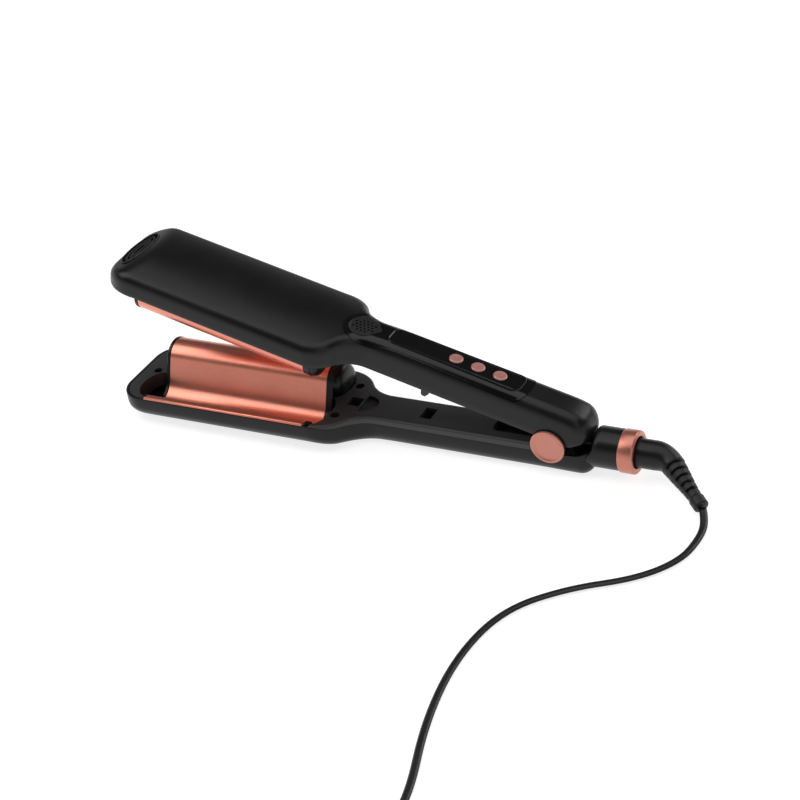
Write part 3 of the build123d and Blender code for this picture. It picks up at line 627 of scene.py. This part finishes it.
def upper_shell():
    rolls = []
    for x, y, nx, ny in upper_outline:
        wanted = mix(3.0, crown_roll(x), smooth(0.0, 9.0, x - UPPER_TIP))
        rolls.append(max(0.6, min(wanted, crown(x, y) - upper_rim(x) - 1.2)))
    inner = inset_ring(upper_outline, 3.4, head_ceiling)
    rings = list(reversed(closing_rings(inner, UPPER_MIDDLE, head_ceiling, 10)))
    rings += [inner, inset_ring(upper_outline, 2.0, upper_ceiling)]
    for inset, lift in ((2.0, 0.3), (1.7, 0), (0.6, 0), (0.18, 0.18), (0.0, 0.6)):
        rings.append(inset_ring(upper_outline, inset, upper_rim, lift))
    for t in (0.35, 0.7):
        rings.append([(x, y, mix(upper_rim(x) + 0.6, crown(x, y) - roll, t))
                      for (x, y, nx, ny), roll in zip(upper_outline, rolls)])
    for k in range(11):
        a = pi / 2 * k / 10
        inset = [roll * (1 - cos(a)) for roll in rolls]
        rings.append(inset_ring(upper_outline, inset, crown, [-roll * (1 - sin(a)) for roll in rolls]))
    rings += closing_rings(rings[-1], UPPER_MIDDLE, crown, 26)
    return solid("upper_shell_skin", rings, False)


def lower_rim(x, y=0):
    return mix(LOWER_RIM, HANDLE_RIM, smooth(-142, -117, x)) + 1.6 * smooth(14, 22, x)


def bottom_roll(x):
    return mix(mix(5.2, 9.2, smooth(-142, -98, x)), 8.6, smooth(-10, 14, x))


def hull(x, y):
    """Underside of the lower arm: flat under the handle, raised to the sides and tip of the head."""
    side = 6.9 * (y / HEAD_HALF) ** 2 * (1 - smooth(-144, -104, x))
    nose = 5.5 * max(0.0, (-246 - x) / 27.0) ** 1.6
    return hypot(side, nose)


lower_outline = arm_outline(LOWER_TIP, LOWER_REAR, 8.2, LOWER_SHOULDER)
LOWER_MIDDLE = (LOWER_TIP + 24, LOWER_REAR - 10)
TRAY_WALL = 2.4


def lower_shell():
    rolls = [bottom_roll(x) for x, y, nx, ny in lower_outline]
    seed = inset_ring(lower_outline, rolls, hull)
    rings = list(reversed(closing_rings(seed, LOWER_MIDDLE, hull, 16)))
    for k in range(11):
        a = pi / 2 * (1 - k / 10)
        inset = [roll * (1 - cos(a)) for roll in rolls]
        rings.append(inset_ring(lower_outline, inset, hull, [roll * (1 - sin(a)) for roll in rolls]))
    for inset, lift in ((0.0, -0.5), (0.15, -0.14), (0.5, 0), (1.8, 0), (2.0, -0.3)):
        rings.append(inset_ring(lower_outline, inset, lower_rim, lift))
    rings.append(inset_ring(lower_outline, 2.2, lambda x, y: min(lower_rim(x) - 1.0, hull(x, y) + 7.0)))
    rings.append(inset_ring(lower_outline, 6.0, hull, TRAY_WALL))
    rings += closing_rings(rings[-1], LOWER_MIDDLE, hull, 8, TRAY_WALL)
    return solid("lower_shell_skin", rings, False)


def dense(outline, step):
    """Outline with points no further apart than step."""
    out = []
    for i, point in enumerate(outline):
        a, b = Vector(point), Vector(outline[(i + 1) % len(outline)])
        count = max(1, ceil((b - a).length / step))
        out += [tuple(a.lerp(b, k / count)) for k in range(count)]
    return out


def panel_outline(grow=0.0):
    """Control panel from above: round end about the vent, easy flanks, rounded rear corners."""
    round_end = 11.8 + grow
    half = [(VENT_X + round_end * cos(radians(a)), round_end * sin(radians(a))) for a in range(178, 82, -6)]
    for k in range(61):
        x = mix(-118.0, -26.0 + grow, k / 60)
        half.append((x, 9.9 + grow + 1.75 * (1 - smooth(-119, -98, x)) + 0.9 * smooth(-98, -26, x)))
    for k in range(1, 10):
        a = pi / 2 * k / 10
        half.append((-26.0 + grow + 6.2 * sin(a), 4.6 + grow + 6.2 * cos(a)))
    half.append((-19.8 + grow, 4.6 + grow))
    return dense(half + [(x, -y) for x, y in reversed(half)], 1.2)


shell = upper_shell()
on_facet = Matrix.Translation((-267.4, 0, 33.7)) @ Matrix.Rotation(-atan2(7.8, 15.8), 4, "Y")
grille_outline = ellipse_at(0, 0, 7.1, 18.4)
grille_cut = prism(grille_outline, -2.7, 6.0)
grille_cut.data.transform(on_facet)
combine(shell, [grille_cut, prism(panel_outline(0.7), 37.2, ABOVE)], "DIFFERENCE")
place(shell, OPENED, SATIN, "upper_arm", ("upper_shell",), sharp=38)

tray = lower_shell()
combine(tray, [lathe([(-20, 10.1), (20, 10.1)], "Y", (0, 0, HINGE_Z), 64)], "DIFFERENCE")
place(tray, ON_TABLE, SATIN, "lower_arm", ("lower_shell",), sharp=38)


# ------------------------ wave plates
def wave_line(barrel, valley, lip_z, steps=28):
    """S-curve of a wave plate across the head."""
    barrel_z, valley_z = MID_Z + BARREL_RISE, MID_Z - BARREL_RISE
    lean = acos((barrel + valley) / hypot(2 * BARREL_Y, 2 * BARREL_RISE)) - atan2(BARREL_RISE, BARREL_Y)
    first = pi + acos(sqrt(1 - ((valley_z - lip_z) / valley) ** 2))
    line = [(-PLATE_LIP, lip_z)]
    for k in range(steps + 1):
        a = mix(first, 2 * pi - lean, k / steps)
        line.append((-BARREL_Y + valley * cos(a), valley_z + valley * sin(a)))
    for k in range(steps + 1):
        a = mix(pi - lean, 0, k / steps)
        line.append((BARREL_Y + barrel * cos(a), barrel_z + barrel * sin(a)))
    line += [(BARREL_Y + barrel, lip_z), (PLATE_LIP, lip_z)]
    return line


def turned(obj):
    """A lower wave piece turned over into the upper arm's place."""
    obj.data.transform(Matrix.Translation((0, 0, 2 * MID_Z)) @ Matrix.Rotation(pi, 4, "X"))
    return obj


def plate(name):
    lip = MID_Z - BARREL_RISE
    top = wave_line(BARREL_RADIUS, VALLEY_RADIUS, lip)
    under = wave_line(BARREL_RADIUS - PLATE_GAUGE, VALLEY_RADIUS + PLATE_GAUGE, lip - PLATE_GAUGE)
    loop = top + list(reversed(under))
    stations = [PLATE_FRONT + (PLATE_REAR - PLATE_FRONT) * k / 40 for k in range(41)]
    return solid(name, [[(x, y, z) for y, z in loop] for x in stations])


def end_cap(name, front, thickness, nose):
    """End of a wave plate with a small step over it; nose is how far the barrel's round end sticks out."""
    lip = MID_Z - BARREL_RISE
    foot = MID_Z - BARREL_RISE - VALLEY_RADIUS - PLATE_GAUGE - 0.6
    base = [(PLATE_LIP, foot + 8), (PLATE_LIP - 12, foot), (-PLATE_LIP + 12, foot), (-PLATE_LIP, foot + 8)]
    outer = wave_line(BARREL_RADIUS + 0.3, VALLEY_RADIUS - 0.3, lip) + base
    inner = wave_line(BARREL_RADIUS + 0.05, VALLEY_RADIUS - 0.05, lip) + base
    rear = front + thickness
    rings = [(front, inner), (front + 0.35, outer), (rear - 0.35, outer), (rear, inner)]
    cap = solid(name, [[(x, y, z) for y, z in ring] for x, ring in rings])
    if nose:
        radius = BARREL_RADIUS - 0.2
        profile = [(rear - 1.0, radius)]
        for k in range(13):
            a = pi / 2 * k / 12
            profile.append((rear + nose * sin(a) ** 0.9, max(radius * cos(a) ** 0.55, 0.01)))
        cap = joined(name, [cap, lathe(profile, "X", (0, BARREL_Y, MID_Z + BARREL_RISE))])
    return cap


def wave_parts(arm, where, finish, rear_nose):
    """Plate and end caps of one arm; finish turns the upper arm's over."""
    sheet = finish(plate(f"wave_sheet_{arm}"))
    place(sheet, where, PLATE, f"{arm}_arm", (f"{arm}_wave_plate",), sharp=40, bevel=0.25)
    for end, start, thickness, nose in (
            ("front", PLATE_FRONT - FRONT_CAP, FRONT_CAP, 0), ("rear", PLATE_REAR, REAR_CAP, rear_nose)):
        cap = finish(end_cap(f"plate_end_{end}_{arm}", start, thickness, nose))
        place(cap, where, CAP_BLACK, f"{arm}_arm", (f"{arm}_{end}_cap",), sharp=35)


wave_parts("lower", ON_TABLE, lambda obj: obj, 5.2)
wave_parts("upper", OPENED, turned, 4.5)


def edge_rail(start_x, end_x, side, radius, ease):
    return rod((start_x, side * 29.3, 18.0), (end_x, side * 29.3, 18.0), radius, 24, ease)


rails = [edge_rail(PLATE_FRONT, PLATE_REAR, side, 1.1, 0.1) for side in (-1, 1)]
stops = [edge_rail(x, x + 2.2, side, 1.15, 0.4) for side in (-1, 1) for x in (PLATE_FRONT - 2.0, PLATE_REAR)]
place(joined("edge_rails", rails), ON_TABLE, PLATE, "lower_arm", ("side_rails",), sharp=40)
place(joined("edge_rail_stops", stops), ON_TABLE, CAP_BLACK, "lower_arm", ("rail_stops",), sharp=40)


# ------------------------ covers
COVER_FRONT = PLATE_REAR + REAR_CAP
TIP_COVER_REAR = PLATE_FRONT - FRONT_CAP
IN_FRONT = (-300, COVER_FRONT)
THROUGH = (-5, ABOVE)


def lower_cover(name, reveal, low, skirt, top, roll):
    """Solid cover over the lower arm: skirt at the parting line if asked, rolled edge, flat top."""
    def skirt_line(x, y):
        return min(lower_rim(x), top - roll) - 0.1

    def edge_line(x, y):
        return min(lower_rim(x) - 0.1, top - roll)

    seed = inset_ring(lower_outline, 3.2, low)
    rings = list(reversed(closing_rings(seed, LOWER_MIDDLE, low, 3)))
    rings += [
        seed,
        inset_ring(lower_outline, 2.4, skirt_line if skirt else low + 0.2),
        inset_ring(lower_outline, reveal, edge_line if skirt else low + 0.6),
    ]
    for k in range(7):
        a = pi / 2 * k / 6
        rings.append(inset_ring(lower_outline, reveal + roll * (1 - cos(a)), top - roll * (1 - sin(a))))
    rings += closing_rings(rings[-1], LOWER_MIDDLE, top, 8)
    return solid(name, rings, False)


def upper_cover(name):
    """Underside cover of the upper arm, rolled along its lower edge."""
    low, roll, high = 20.5, 1.6, 28.0
    seed = inset_ring(upper_outline, 4.0, low)
    rings = list(reversed(closing_rings(seed, UPPER_MIDDLE, low, 5)))
    for k in range(6):
        a = pi / 2 * k / 5
        rings.append(inset_ring(upper_outline, 1.4 + roll * (1 - sin(a)), low + roll * (1 - cos(a))))
    rings += [inset_ring(upper_outline, inset, z) for inset, z in ((1.4, 22.6), (2.2, 22.9), (4.0, high))]
    rings += closing_rings(rings[-1], UPPER_MIDDLE, high, 3)
    return solid(name, rings, False)


def window(x, half_y, corner, low):
    """Cutter for an opening from low upwards; corner is one radius or one per corner."""
    points = [(x[0], -half_y), (x[1], -half_y), (x[1], half_y), (x[0], half_y)]
    return prism(rounded(points, corner, 4 if isinstance(corner, float) else 8), low, ABOVE)


def screw_wells(low, high):
    """Cutters for the two screws behind the plate."""
    return [prism(ellipse_at(SCREW_X, y, SCREW_HOLE, SCREW_HOLE, 40), low, high) for y in (SCREW_Y, -SCREW_Y)]


def tip_well(y, low, high):
    return prism(ellipse_at(TIP_SCREW_X, y, TIP_SCREW_HOLE, TIP_SCREW_HOLE, 40), low, high)


cover = lower_cover("handle_cover_lower_skin", 0.15, 8.0, True, LOWER_RIM + 0.6, 1.8)
combine(cover, [bar(IN_FRONT, SIDES, THROUGH), bar((-10.6, 60), SIDES, THROUGH)], "DIFFERENCE")
half_turn = [mix(-pi / 2, pi / 2, k / 24) for k in range(25)]
combine(cover, screw_wells(13.0, ABOVE) + [
    window((-81.95, -74.85), 5.1, 0.5, 2.0),
    window((-129.4, -121.6), 4.1, 0.6, 12.5),
    prism([(VENT_X + 9.6 * cos(a), 8.1 * sin(a)) for a in half_turn], 16.4, ABOVE),
    window((-37.4, -5.0), 5.6, [4.2, 0.5, 0.5, 4.2], 13.6),
], "DIFFERENCE")
combine(cover, [prism(ellipse_at(COVER_FRONT, -BARREL_Y, 5.9, 14.2), 5.0, ABOVE)], "DIFFERENCE")
combine(cover, [prism(ellipse_at(COVER_FRONT, BARREL_Y, 5.9, 11.9), 9.5, ABOVE)], "DIFFERENCE")
place(cover, ON_TABLE, COVER, "lower_arm", ("lower_handle_cover",), sharp=32, bevel=0.3)

tip_cover = lower_cover("tip_cover_lower_skin", 2.02, 9.0, False, LOWER_RIM, 0.3)
combine(tip_cover, [bar((TIP_COVER_REAR, 60), SIDES, THROUGH)], "DIFFERENCE")
combine(tip_cover, [
    prism(ellipse_at(TIP_COVER_REAR, -BARREL_Y, 8.2, 13.0), 5.0, ABOVE),
    tip_well(0.4, 14.0, ABOVE),
], "DIFFERENCE")
place(tip_cover, ON_TABLE, COVER, "lower_arm", ("lower_tip_cover",), sharp=32, bevel=0.3)

under = upper_cover("handle_cover_upper_skin")
combine(under, [bar(IN_FRONT, SIDES, THROUGH), bar((-11.2, 60), SIDES, THROUGH)], "DIFFERENCE")
barrel_room = prism(ellipse_at(COVER_FRONT, BARREL_Y, 8.0, 14.2), -10, ABOVE)
combine(under, [barrel_room] + screw_wells(0, 25.2), "DIFFERENCE")
combine(under, [prism(ellipse_at(COVER_FRONT, -BARREL_Y, 4.9, 12.0), -10, 27.0)], "DIFFERENCE")
hook_side = [(-80.9, 21.0), (-80.9, 12.6), (-80.0, 11.4), (-78.2, 11.3), (-76.4, 13.4), (-75.6, 15.6),
             (-75.6, 21.0)]
hook_ends = [[(x, y, z) for x, z in hook_side] for y in (-3.3, 3.3)]
combine(under, [solid("hook", hook_ends)], "UNION")
place(under, OPENED, COVER, "upper_arm", ("upper_handle_cover",), sharp=32, bevel=0.3)

tip_under = upper_cover("tip_cover_upper_skin")
combine(tip_under, [bar((TIP_COVER_REAR, 60), SIDES, THROUGH)], "DIFFERENCE")
combine(tip_under, [
    prism(ellipse_at(TIP_COVER_REAR, BARREL_Y, 8.2, 13.0), -5, ABOVE),
    tip_well(-0.4, -5, 24.5),
], "DIFFERENCE")
place(tip_under, OPENED, COVER, "upper_arm", ("upper_tip_cover",), sharp=32, bevel=0.3)


# ------------------------ tip grille
ribs = [prism([(x * 0.985, y * 0.985) for x, y in grille_outline], -2.9, -2.3)]
for inward in range(3):
    rx, ry = 6.5 - 2.35 * inward, 17.8 - 3.6 * inward
    top = 0.0 if inward else 0.4
    section = ((-0.45, -2.4), (-0.4, top - 0.2), (-0.2, top), (0.2, top), (0.4, top - 0.2), (0.45, -2.4))
    rings = [[(x, y, z) for x, y in ellipse_at(0, 0, rx + wider, ry + wider, 96)] for wider, z in section]
    rings.append(rings[0])
    ribs.append(solid("rib", rings, False))
grille = joined("tip_grille_ribs", ribs)
grille.data.transform(on_facet)
place(grille, OPENED, VENT_BLACK, "upper_arm", ("tip_grille",), sharp=40)


# ------------------------ control panel
def relief(name, outline, levels, middle):
    """Low relief over the upper arm: outline with (inset, height) levels, closed to the centre line."""
    points = with_inward(outline, True)
    rings = [inset_ring(points, inset, shell_top, high) for inset, high in levels]
    rings += closing_rings(rings[-1], middle, shell_top, 10, levels[-1][1])
    verts, faces = skin(rings)
    faces.append(tuple(range(len(outline))))
    return outward(mesh_object(name, verts, faces))


def key_holes(radius):
    return [prism(ellipse_at(x, 0, radius, radius, 48), 30, ABOVE) for x in BUTTON_X]


VENT_MID = VENT_X - 0.6
vent_outline = []
for k in range(72):
    a = 2 * pi * k / 72
    corner = max(0.0, 1 - abs((a + pi) % (2 * pi) - pi) / 0.5)
    vent_outline.append((VENT_MID + (9.5 + 2.2 * corner ** 1.3) * cos(a), (9.5 + 1.0 * corner) * sin(a)))
panel = relief("control_panel_skin", panel_outline(),
               [(0.0, -2.0), (0.0, 0.05), (0.12, 0.3), (0.45, 0.48), (0.9, 0.5)], (VENT_X, -27.0))
combine(panel, [prism(vent_outline, 38.6, ABOVE)] + key_holes(4.2), "DIFFERENCE")
place(panel, OPENED, GLOSS, "upper_arm", ("control_panel",), sharp=40)

lens_corners = [(-104.4, -7.3), (-23.6, -8.2), (-23.6, 8.2), (-104.4, 7.3)]
lens_outline = dense(rounded(lens_corners, [4.6, 5.0, 5.0, 4.6], 10), 1.2)
lens = relief("display_lens_skin", lens_outline,
              [(0.0, -1.0), (0.0, 0.55), (0.12, 0.85), (0.35, 0.98), (0.6, 0.9), (0.85, 0.72), (1.4, 0.74)],
              (-97.0, -31.0))
combine(lens, key_holes(4.35), "DIFFERENCE")
place(lens, OPENED, LENS, "upper_arm", ("display_lens",), sharp=40)


def vent_disc():
    """Disc with rows of small holes and a raised rim, tilted with the shell under it."""
    outline = [(VENT_MID + (x - VENT_MID) * 0.96, y * 0.96) for x, y in vent_outline]
    pins = []
    for row in range(-2, 3):
        for column in range(-3, 4):
            x, y = (column + 0.5 * (row % 2)) * 2.4, row * 2.3
            if hypot(x, y) < 6.6:
                pins.append(prism(ellipse_at(VENT_MID + x, y, 0.72, 0.72, 16), 39.0, ABOVE))
    disc = combine(prism(outline, 37.6, 40.35), pins, "DIFFERENCE")
    low = 39.2
    section = ((0.0, low), (0.0, 40.6), (0.022, 40.85), (0.07, 40.85), (0.13, 40.3), (0.13, low), (0.0, low))
    rings = [[(mix(x, VENT_MID, shrink), y * (1 - shrink), z) for x, y in outline] for shrink, z in section]
    disc = joined("vent_disc_skin", [disc, solid("vent_rim", rings, False)])
    for vertex in disc.data.vertices:
        vertex.co.z += 0.06 * (vertex.co.x - VENT_X)
    return disc


place(vent_disc(), OPENED, VENT_BLACK, "upper_arm", ("vent_disc",), sharp=40)

KEY_LIFT = 0.6
KEY_PROFILE = [(38.4, 3.98), (41.55, 3.98), (41.95, 3.9), (42.2, 3.68), (42.28, 3.4), (42.24, 2.6),
               (42.16, 1.4), (42.12, 0.02)]
MARK = (42.6, 44)
STROKE, MARK_REACH = 0.22, 1.5


def plus_mark(x):
    points = [(-STROKE, -MARK_REACH), (STROKE, -MARK_REACH), (STROKE, -STROKE), (MARK_REACH, -STROKE),
              (MARK_REACH, STROKE), (STROKE, STROKE)]
    return [prism([(x + u, v) for u, v in points + [(-u, -v) for u, v in points]], *MARK)]


def minus_mark(x):
    return [bar((x - STROKE, x + STROKE), (-MARK_REACH, MARK_REACH), MARK)]


def power_mark(x):
    turns = [radians(mix(-140, 140, k / 30)) for k in range(31)]
    arc = [(x + 1.75 * cos(a), 1.75 * sin(a)) for a in turns]
    arc += [(x + 1.35 * cos(a), 1.35 * sin(a)) for a in reversed(turns)]
    return [prism(arc, *MARK), bar((x - 2.1, x - 0.3), (-0.2, 0.2), MARK)]


for x, key, mark in zip(BUTTON_X, ("plus", "minus", "power"), (plus_mark, minus_mark, power_mark)):
    cap = combine(lathe(KEY_PROFILE, "Z", (x, 0, KEY_LIFT), 64, f"{key}_key"), mark(x), "DIFFERENCE")
    place(cap, OPENED, ROSE_BUTTON, f"{key}_button", (f"button_{key}",))


# ------------------------ hinge, neck and swivel
DISH_PROFILE = [(12.55, 9.5), (12.9, 9.9), (13.7, 10.05), (14.1, 9.95), (14.35, 9.6), (14.38, 9.25),
                (14.2, 8.8), (13.85, 8.3), (13.5, 7.5), (13.25, 6.0), (13.12, 4.0), (13.05, 2.0),
                (13.03, 0.02)]
EAR_PROFILE = [(10.5, 9.0), (10.6, 9.4), (10.9, 9.6), (12.1, 9.6), (12.4, 9.4), (12.5, 9.0), (12.5, 2.2),
               (10.5, 2.2), (10.5, 9.0)]
ears = []
for side, end in ((-1, "near"), (1, "far")):
    dish = lathe([(side * y, r) for y, r in DISH_PROFILE], "Y", (0, 0, HINGE_Z), 96, f"hinge_dish_{end}")
    place(dish, ON_TABLE, ROSE_CAP, "lower_arm", (f"hinge_cap_{end}",))
    ears.append(lathe([(side * y, r) for y, r in EAR_PROFILE], "Y", (0, 0, HINGE_Z)))
    root = [(-9.6, side * 10.5), (9.6, side * 10.5), (9.6, side * 12.45), (-9.6, side * 12.45)]
    ears.append(prism(root, HINGE_Z, 24.0))
place(joined("hinge_ears", ears), OPENED, SATIN, "upper_arm", sharp=38, bevel=0.2)


def neck_piece():
    """Round neck whose front end follows the rounded rear of the lower arm."""
    length, collar_x, radius = 14.8, 38.8, 11.6
    profile = [(0, 8.8), (0, 10.4), (0.5, 11.2)] + [(s, radius) for s in (1.4, 4, 8, 12, length)]
    profile.append((length, 9.0))
    rings = []
    for s, r in profile:
        ring = []
        for k in range(96):
            a = 2 * pi * k / 96
            start = mix(24.1, 19.0, smooth(0.0, 1.0, 0.55 - sin(a) * 1.2))
            ring.append((mix(start, collar_x, s / length), r * cos(a), NECK_Z + 0.2 + r * sin(a)))
        rings.append(ring)
    return solid("neck_skin", rings)


place(neck_piece(), ON_TABLE, SATIN, "lower_arm", ("neck",), sharp=38)

BAND_PROFILE = [(38.8, 9.0), (38.8, 11.6), (39.0, 12.0), (39.4, 12.15), (46.4, 12.15), (47.1, 11.95),
                (47.6, 11.3), (47.7, 10.6), (47.65, 9.6), (47.3, 9.1), (45.8, 8.7), (38.8, 8.7),
                (38.8, 9.0)]
band = lathe(BAND_PROFILE, "X", (0, 0, NECK_Z), 128, "collar_band")
place(band, ON_TABLE, ROSE, "lower_arm", ("collar_ring",), sharp=50)

BEND_AT = Vector((63.3, 0, NECK_Z))
RELIEF_TIP = Vector((90.5, -24.5, 4.8))
AIM = (RELIEF_TIP - BEND_AT).normalized()
TURN = AIM.angle(Vector((1, 0, 0)))
BEND_RADIUS = 16.0
LEG = BEND_RADIUS * sin(TURN / 2) / cos(TURN / 2)
ELBOW_END = BEND_AT + AIM * LEG
RELIEF_LENGTH = (RELIEF_TIP - ELBOW_END).length
BEND_INWARD = (AIM - Vector((1, 0, 0)) * AIM.x).normalized()
ACROSS = Vector((1, 0, 0)).cross(BEND_INWARD).normalized()


def elbow_line():
    """Straight stem from inside the neck, a bend, and a short straight end."""
    path = [Vector((x, 0, NECK_Z)) for x in (28.6, 40, 50)]
    centre = BEND_AT - Vector((LEG, 0, 0)) + BEND_INWARD * BEND_RADIUS
    for k in range(17):
        a = TURN * k / 16
        path.append(centre - BEND_INWARD * (BEND_RADIUS * cos(a)) + Vector((BEND_RADIUS * sin(a), 0, 0)))
    return path + [ELBOW_END + AIM * 1.0]


def tube(name, path, radius_of, steps=64):
    """Tube along a path that bends in one plane; radius_of gives the radius at a ring and an angle."""
    rings = []
    for i, point in enumerate(path):
        along = (path[min(i + 1, len(path) - 1)] - path[max(i - 1, 0)]).normalized()
        side = ACROSS.cross(along).normalized()
        ring = []
        for k in range(steps):
            a = 2 * pi * k / steps
            r = radius_of(i, a)
            ring.append(point + side * (r * cos(a)) + ACROSS * (r * sin(a)))
        rings.append(ring)
    return solid(name, rings)


ELBOW_PATH = elbow_line()
ELBOW_RADIUS, JOINT_RADIUS, LEAD_END_RADIUS = 8.15, 6.6, 3.7
RELIEF_STEPS = 150
RELIEF_PATH = [ELBOW_END + AIM * (RELIEF_LENGTH * k / RELIEF_STEPS) for k in range(RELIEF_STEPS + 1)]


def elbow_radius(i, a):
    return mix(ELBOW_RADIUS, JOINT_RADIUS, smooth(3, len(ELBOW_PATH) - 2, i))


def relief_radius(i, a):
    """Tapered strain relief with crescent slots that alternate from side to side."""
    s = RELIEF_LENGTH * i / RELIEF_STEPS
    radius = mix(JOINT_RADIUS, LEAD_END_RADIUS, smooth(-4, RELIEF_LENGTH * 0.9, s))
    radius += 0.55 * smooth(RELIEF_LENGTH - 7, RELIEF_LENGTH - 5.6, s)
    if s > RELIEF_LENGTH - 1.2:
        t = (s - RELIEF_LENGTH + 1.2) / 1.2
        radius -= 1.2 * (1 - sqrt(max(0.0, 1 - t * t)))
    depth = 0.0
    for slot in range(5):
        for turned_over in (0, 1):
            at = 2.4 + slot * 4.55 + 2.3 * turned_over
            half = 0.78 if turned_over else 1.0
            facing = a - (radians(40) if turned_over else radians(220))
            facing = abs((facing + pi) % (2 * pi) - pi)
            reach = radians(62 if turned_over else 100)
            along_slot = 1 - smooth(half - 0.3, half, abs(s - at))
            round_slot = 1 - smooth(reach - 0.10, reach, facing)
            depth = max(depth, along_slot * round_slot * (1.3 if turned_over else 1.6))
    return radius - depth


elbow = tube("swivel_elbow_skin", ELBOW_PATH, elbow_radius)
place(elbow, ON_TABLE, SATIN, "swivel", ("swivel_elbow",), sharp=38)
strain_relief = tube("strain_relief_skin", RELIEF_PATH, relief_radius, 96)
place(strain_relief, ON_TABLE, RUBBER, "swivel", ("strain_relief",), sharp=50)


# ------------------------ lock slider
knob = [prism(rounded([(-66, -6), (-54, -6), (-54, 6), (-66, 6)], 2.5, 6), 0.35, 1.9)]
ridge = ((-0.5, 0.6), (-0.25, 0.25), (0.25, 0.25), (0.5, 0.6))
for k in range(6):
    knob.append(solid("ridge", [[(-64.6 + 1.85 * k + u, y, z) for u, z in ridge] for y in (-4.4, 4.4)]))
stem = bar((-64.0, -58.0), (-2.3, 2.3), (1.7, 5))
fork = [bar((-73.8, -56.0), (-5.2, 5.2), (4.5, 6.0))]
fork += [bar((-73.8, -68.0), y, (5.8, 7.7)) for y in ((3.7, 4.9), (-4.9, -3.7))]
slider = joined("lock_knob", knob + [stem] + fork)
place(slider, ON_TABLE, ROSE, "lock", ("lock_slider",), sharp=40, bevel=0.25)


# ------------------------ plug
PRONG_Z = 7.0


def plug_section(x, half_y, half_z, centre_z=PRONG_Z, power=5):
    """Ring between an oval and a rounded box; a larger power is squarer."""
    ring = []
    for k in range(64):
        a = 2 * pi * k / 64
        u, v = (abs(c) ** (2 / power) * (1 if c > 0 else -1) for c in (cos(a), sin(a)))
        ring.append((x, PLUG_Y + half_y * u, centre_z + half_z * v))
    return ring


def plug_rings():
    """Ribbed sleeve round the lead, then a body that flares towards the prongs."""
    rings = [plug_section(84.0, 2.7, 2.3, 4.0, 2.4), plug_section(84.6, 3.1, 2.8, 4.0, 2.4)]
    for k in range(5):
        x, r, z = 86.0 + k * 2.7, 3.3 + k * 0.28, mix(4.1, 6.2, k / 4)
        for along, groove in ((0, 0), (1.5, 0), (1.7, 0.7), (2.4, 0.7)):
            rings.append(plug_section(x + along, r - groove, r * 0.9 - groove, z, 2.4))
    rings += [plug_section(100.0, 6.6, 5.9, power=3), plug_section(101, 7.2, 6.2, power=3.2)]
    for k in range(1, 9):
        t = k / 8
        half_y, half_z = mix(7.2, 16.3, smooth(0, 1, t)), mix(6.2, 6.8, t)
        rings.append(plug_section(mix(101, 131, t), half_y, half_z, power=mix(3.2, 5.0, t)))
    return rings + [plug_section(x, 15.6 + r, 6.0 + r) for x, r in ((133.2, 0.8), (133.8, 0.5), (134.0, 0))]


def prong_rods(length, radius, ease):
    roots = [Vector((133, PLUG_Y + y, PRONG_Z)) for y in (-9.3, 9.3)]
    return [rod(root, root + Vector((length, 0, 0)), radius, 32, ease) for root in roots]


def tie_rings():
    """Flat strap round the coil's three layers, across one side of it."""
    turn = radians(28)
    section = ((0.0, -1.2), (0.45, -1.5), (0.6, -1.2), (0.6, 1.2), (0.45, 1.5), (0.0, 1.2), (0.0, -1.2))
    rings = []
    for grow, w in section:
        near, far, low, high = 16.1 - grow, 30.8 + grow, 0.22 - grow / 3, 8.1 + grow
        loop = rounded([(near, low), (far, low), (far, high), (near, high)], 1.6)
        rings.append([(COIL[0] + u * cos(turn) - w * sin(turn), COIL[1] + u * sin(turn) + w * cos(turn), v)
                      for u, v in loop])
    return rings


plug = solid("plug_shell", plug_rings())
place(plug, ON_TABLE, CAP_BLACK, "lower_arm", ("plug_body",), sharp=42)
prongs = joined("plug_prongs", prong_rods(20, 2.0, 0.9))
place(prongs, ON_TABLE, BRASS, "lower_arm", ("plug_pins",), sharp=40)
sleeves = joined("plug_prong_sleeves", prong_rods(10, 2.15, 0.15))
place(sleeves, ON_TABLE, CAP_BLACK, "lower_arm", sharp=40)
tie = solid("lead_tie", tie_rings(), False)
place(tie, ON_TABLE, RUBBER, "lower_arm", sharp=40)
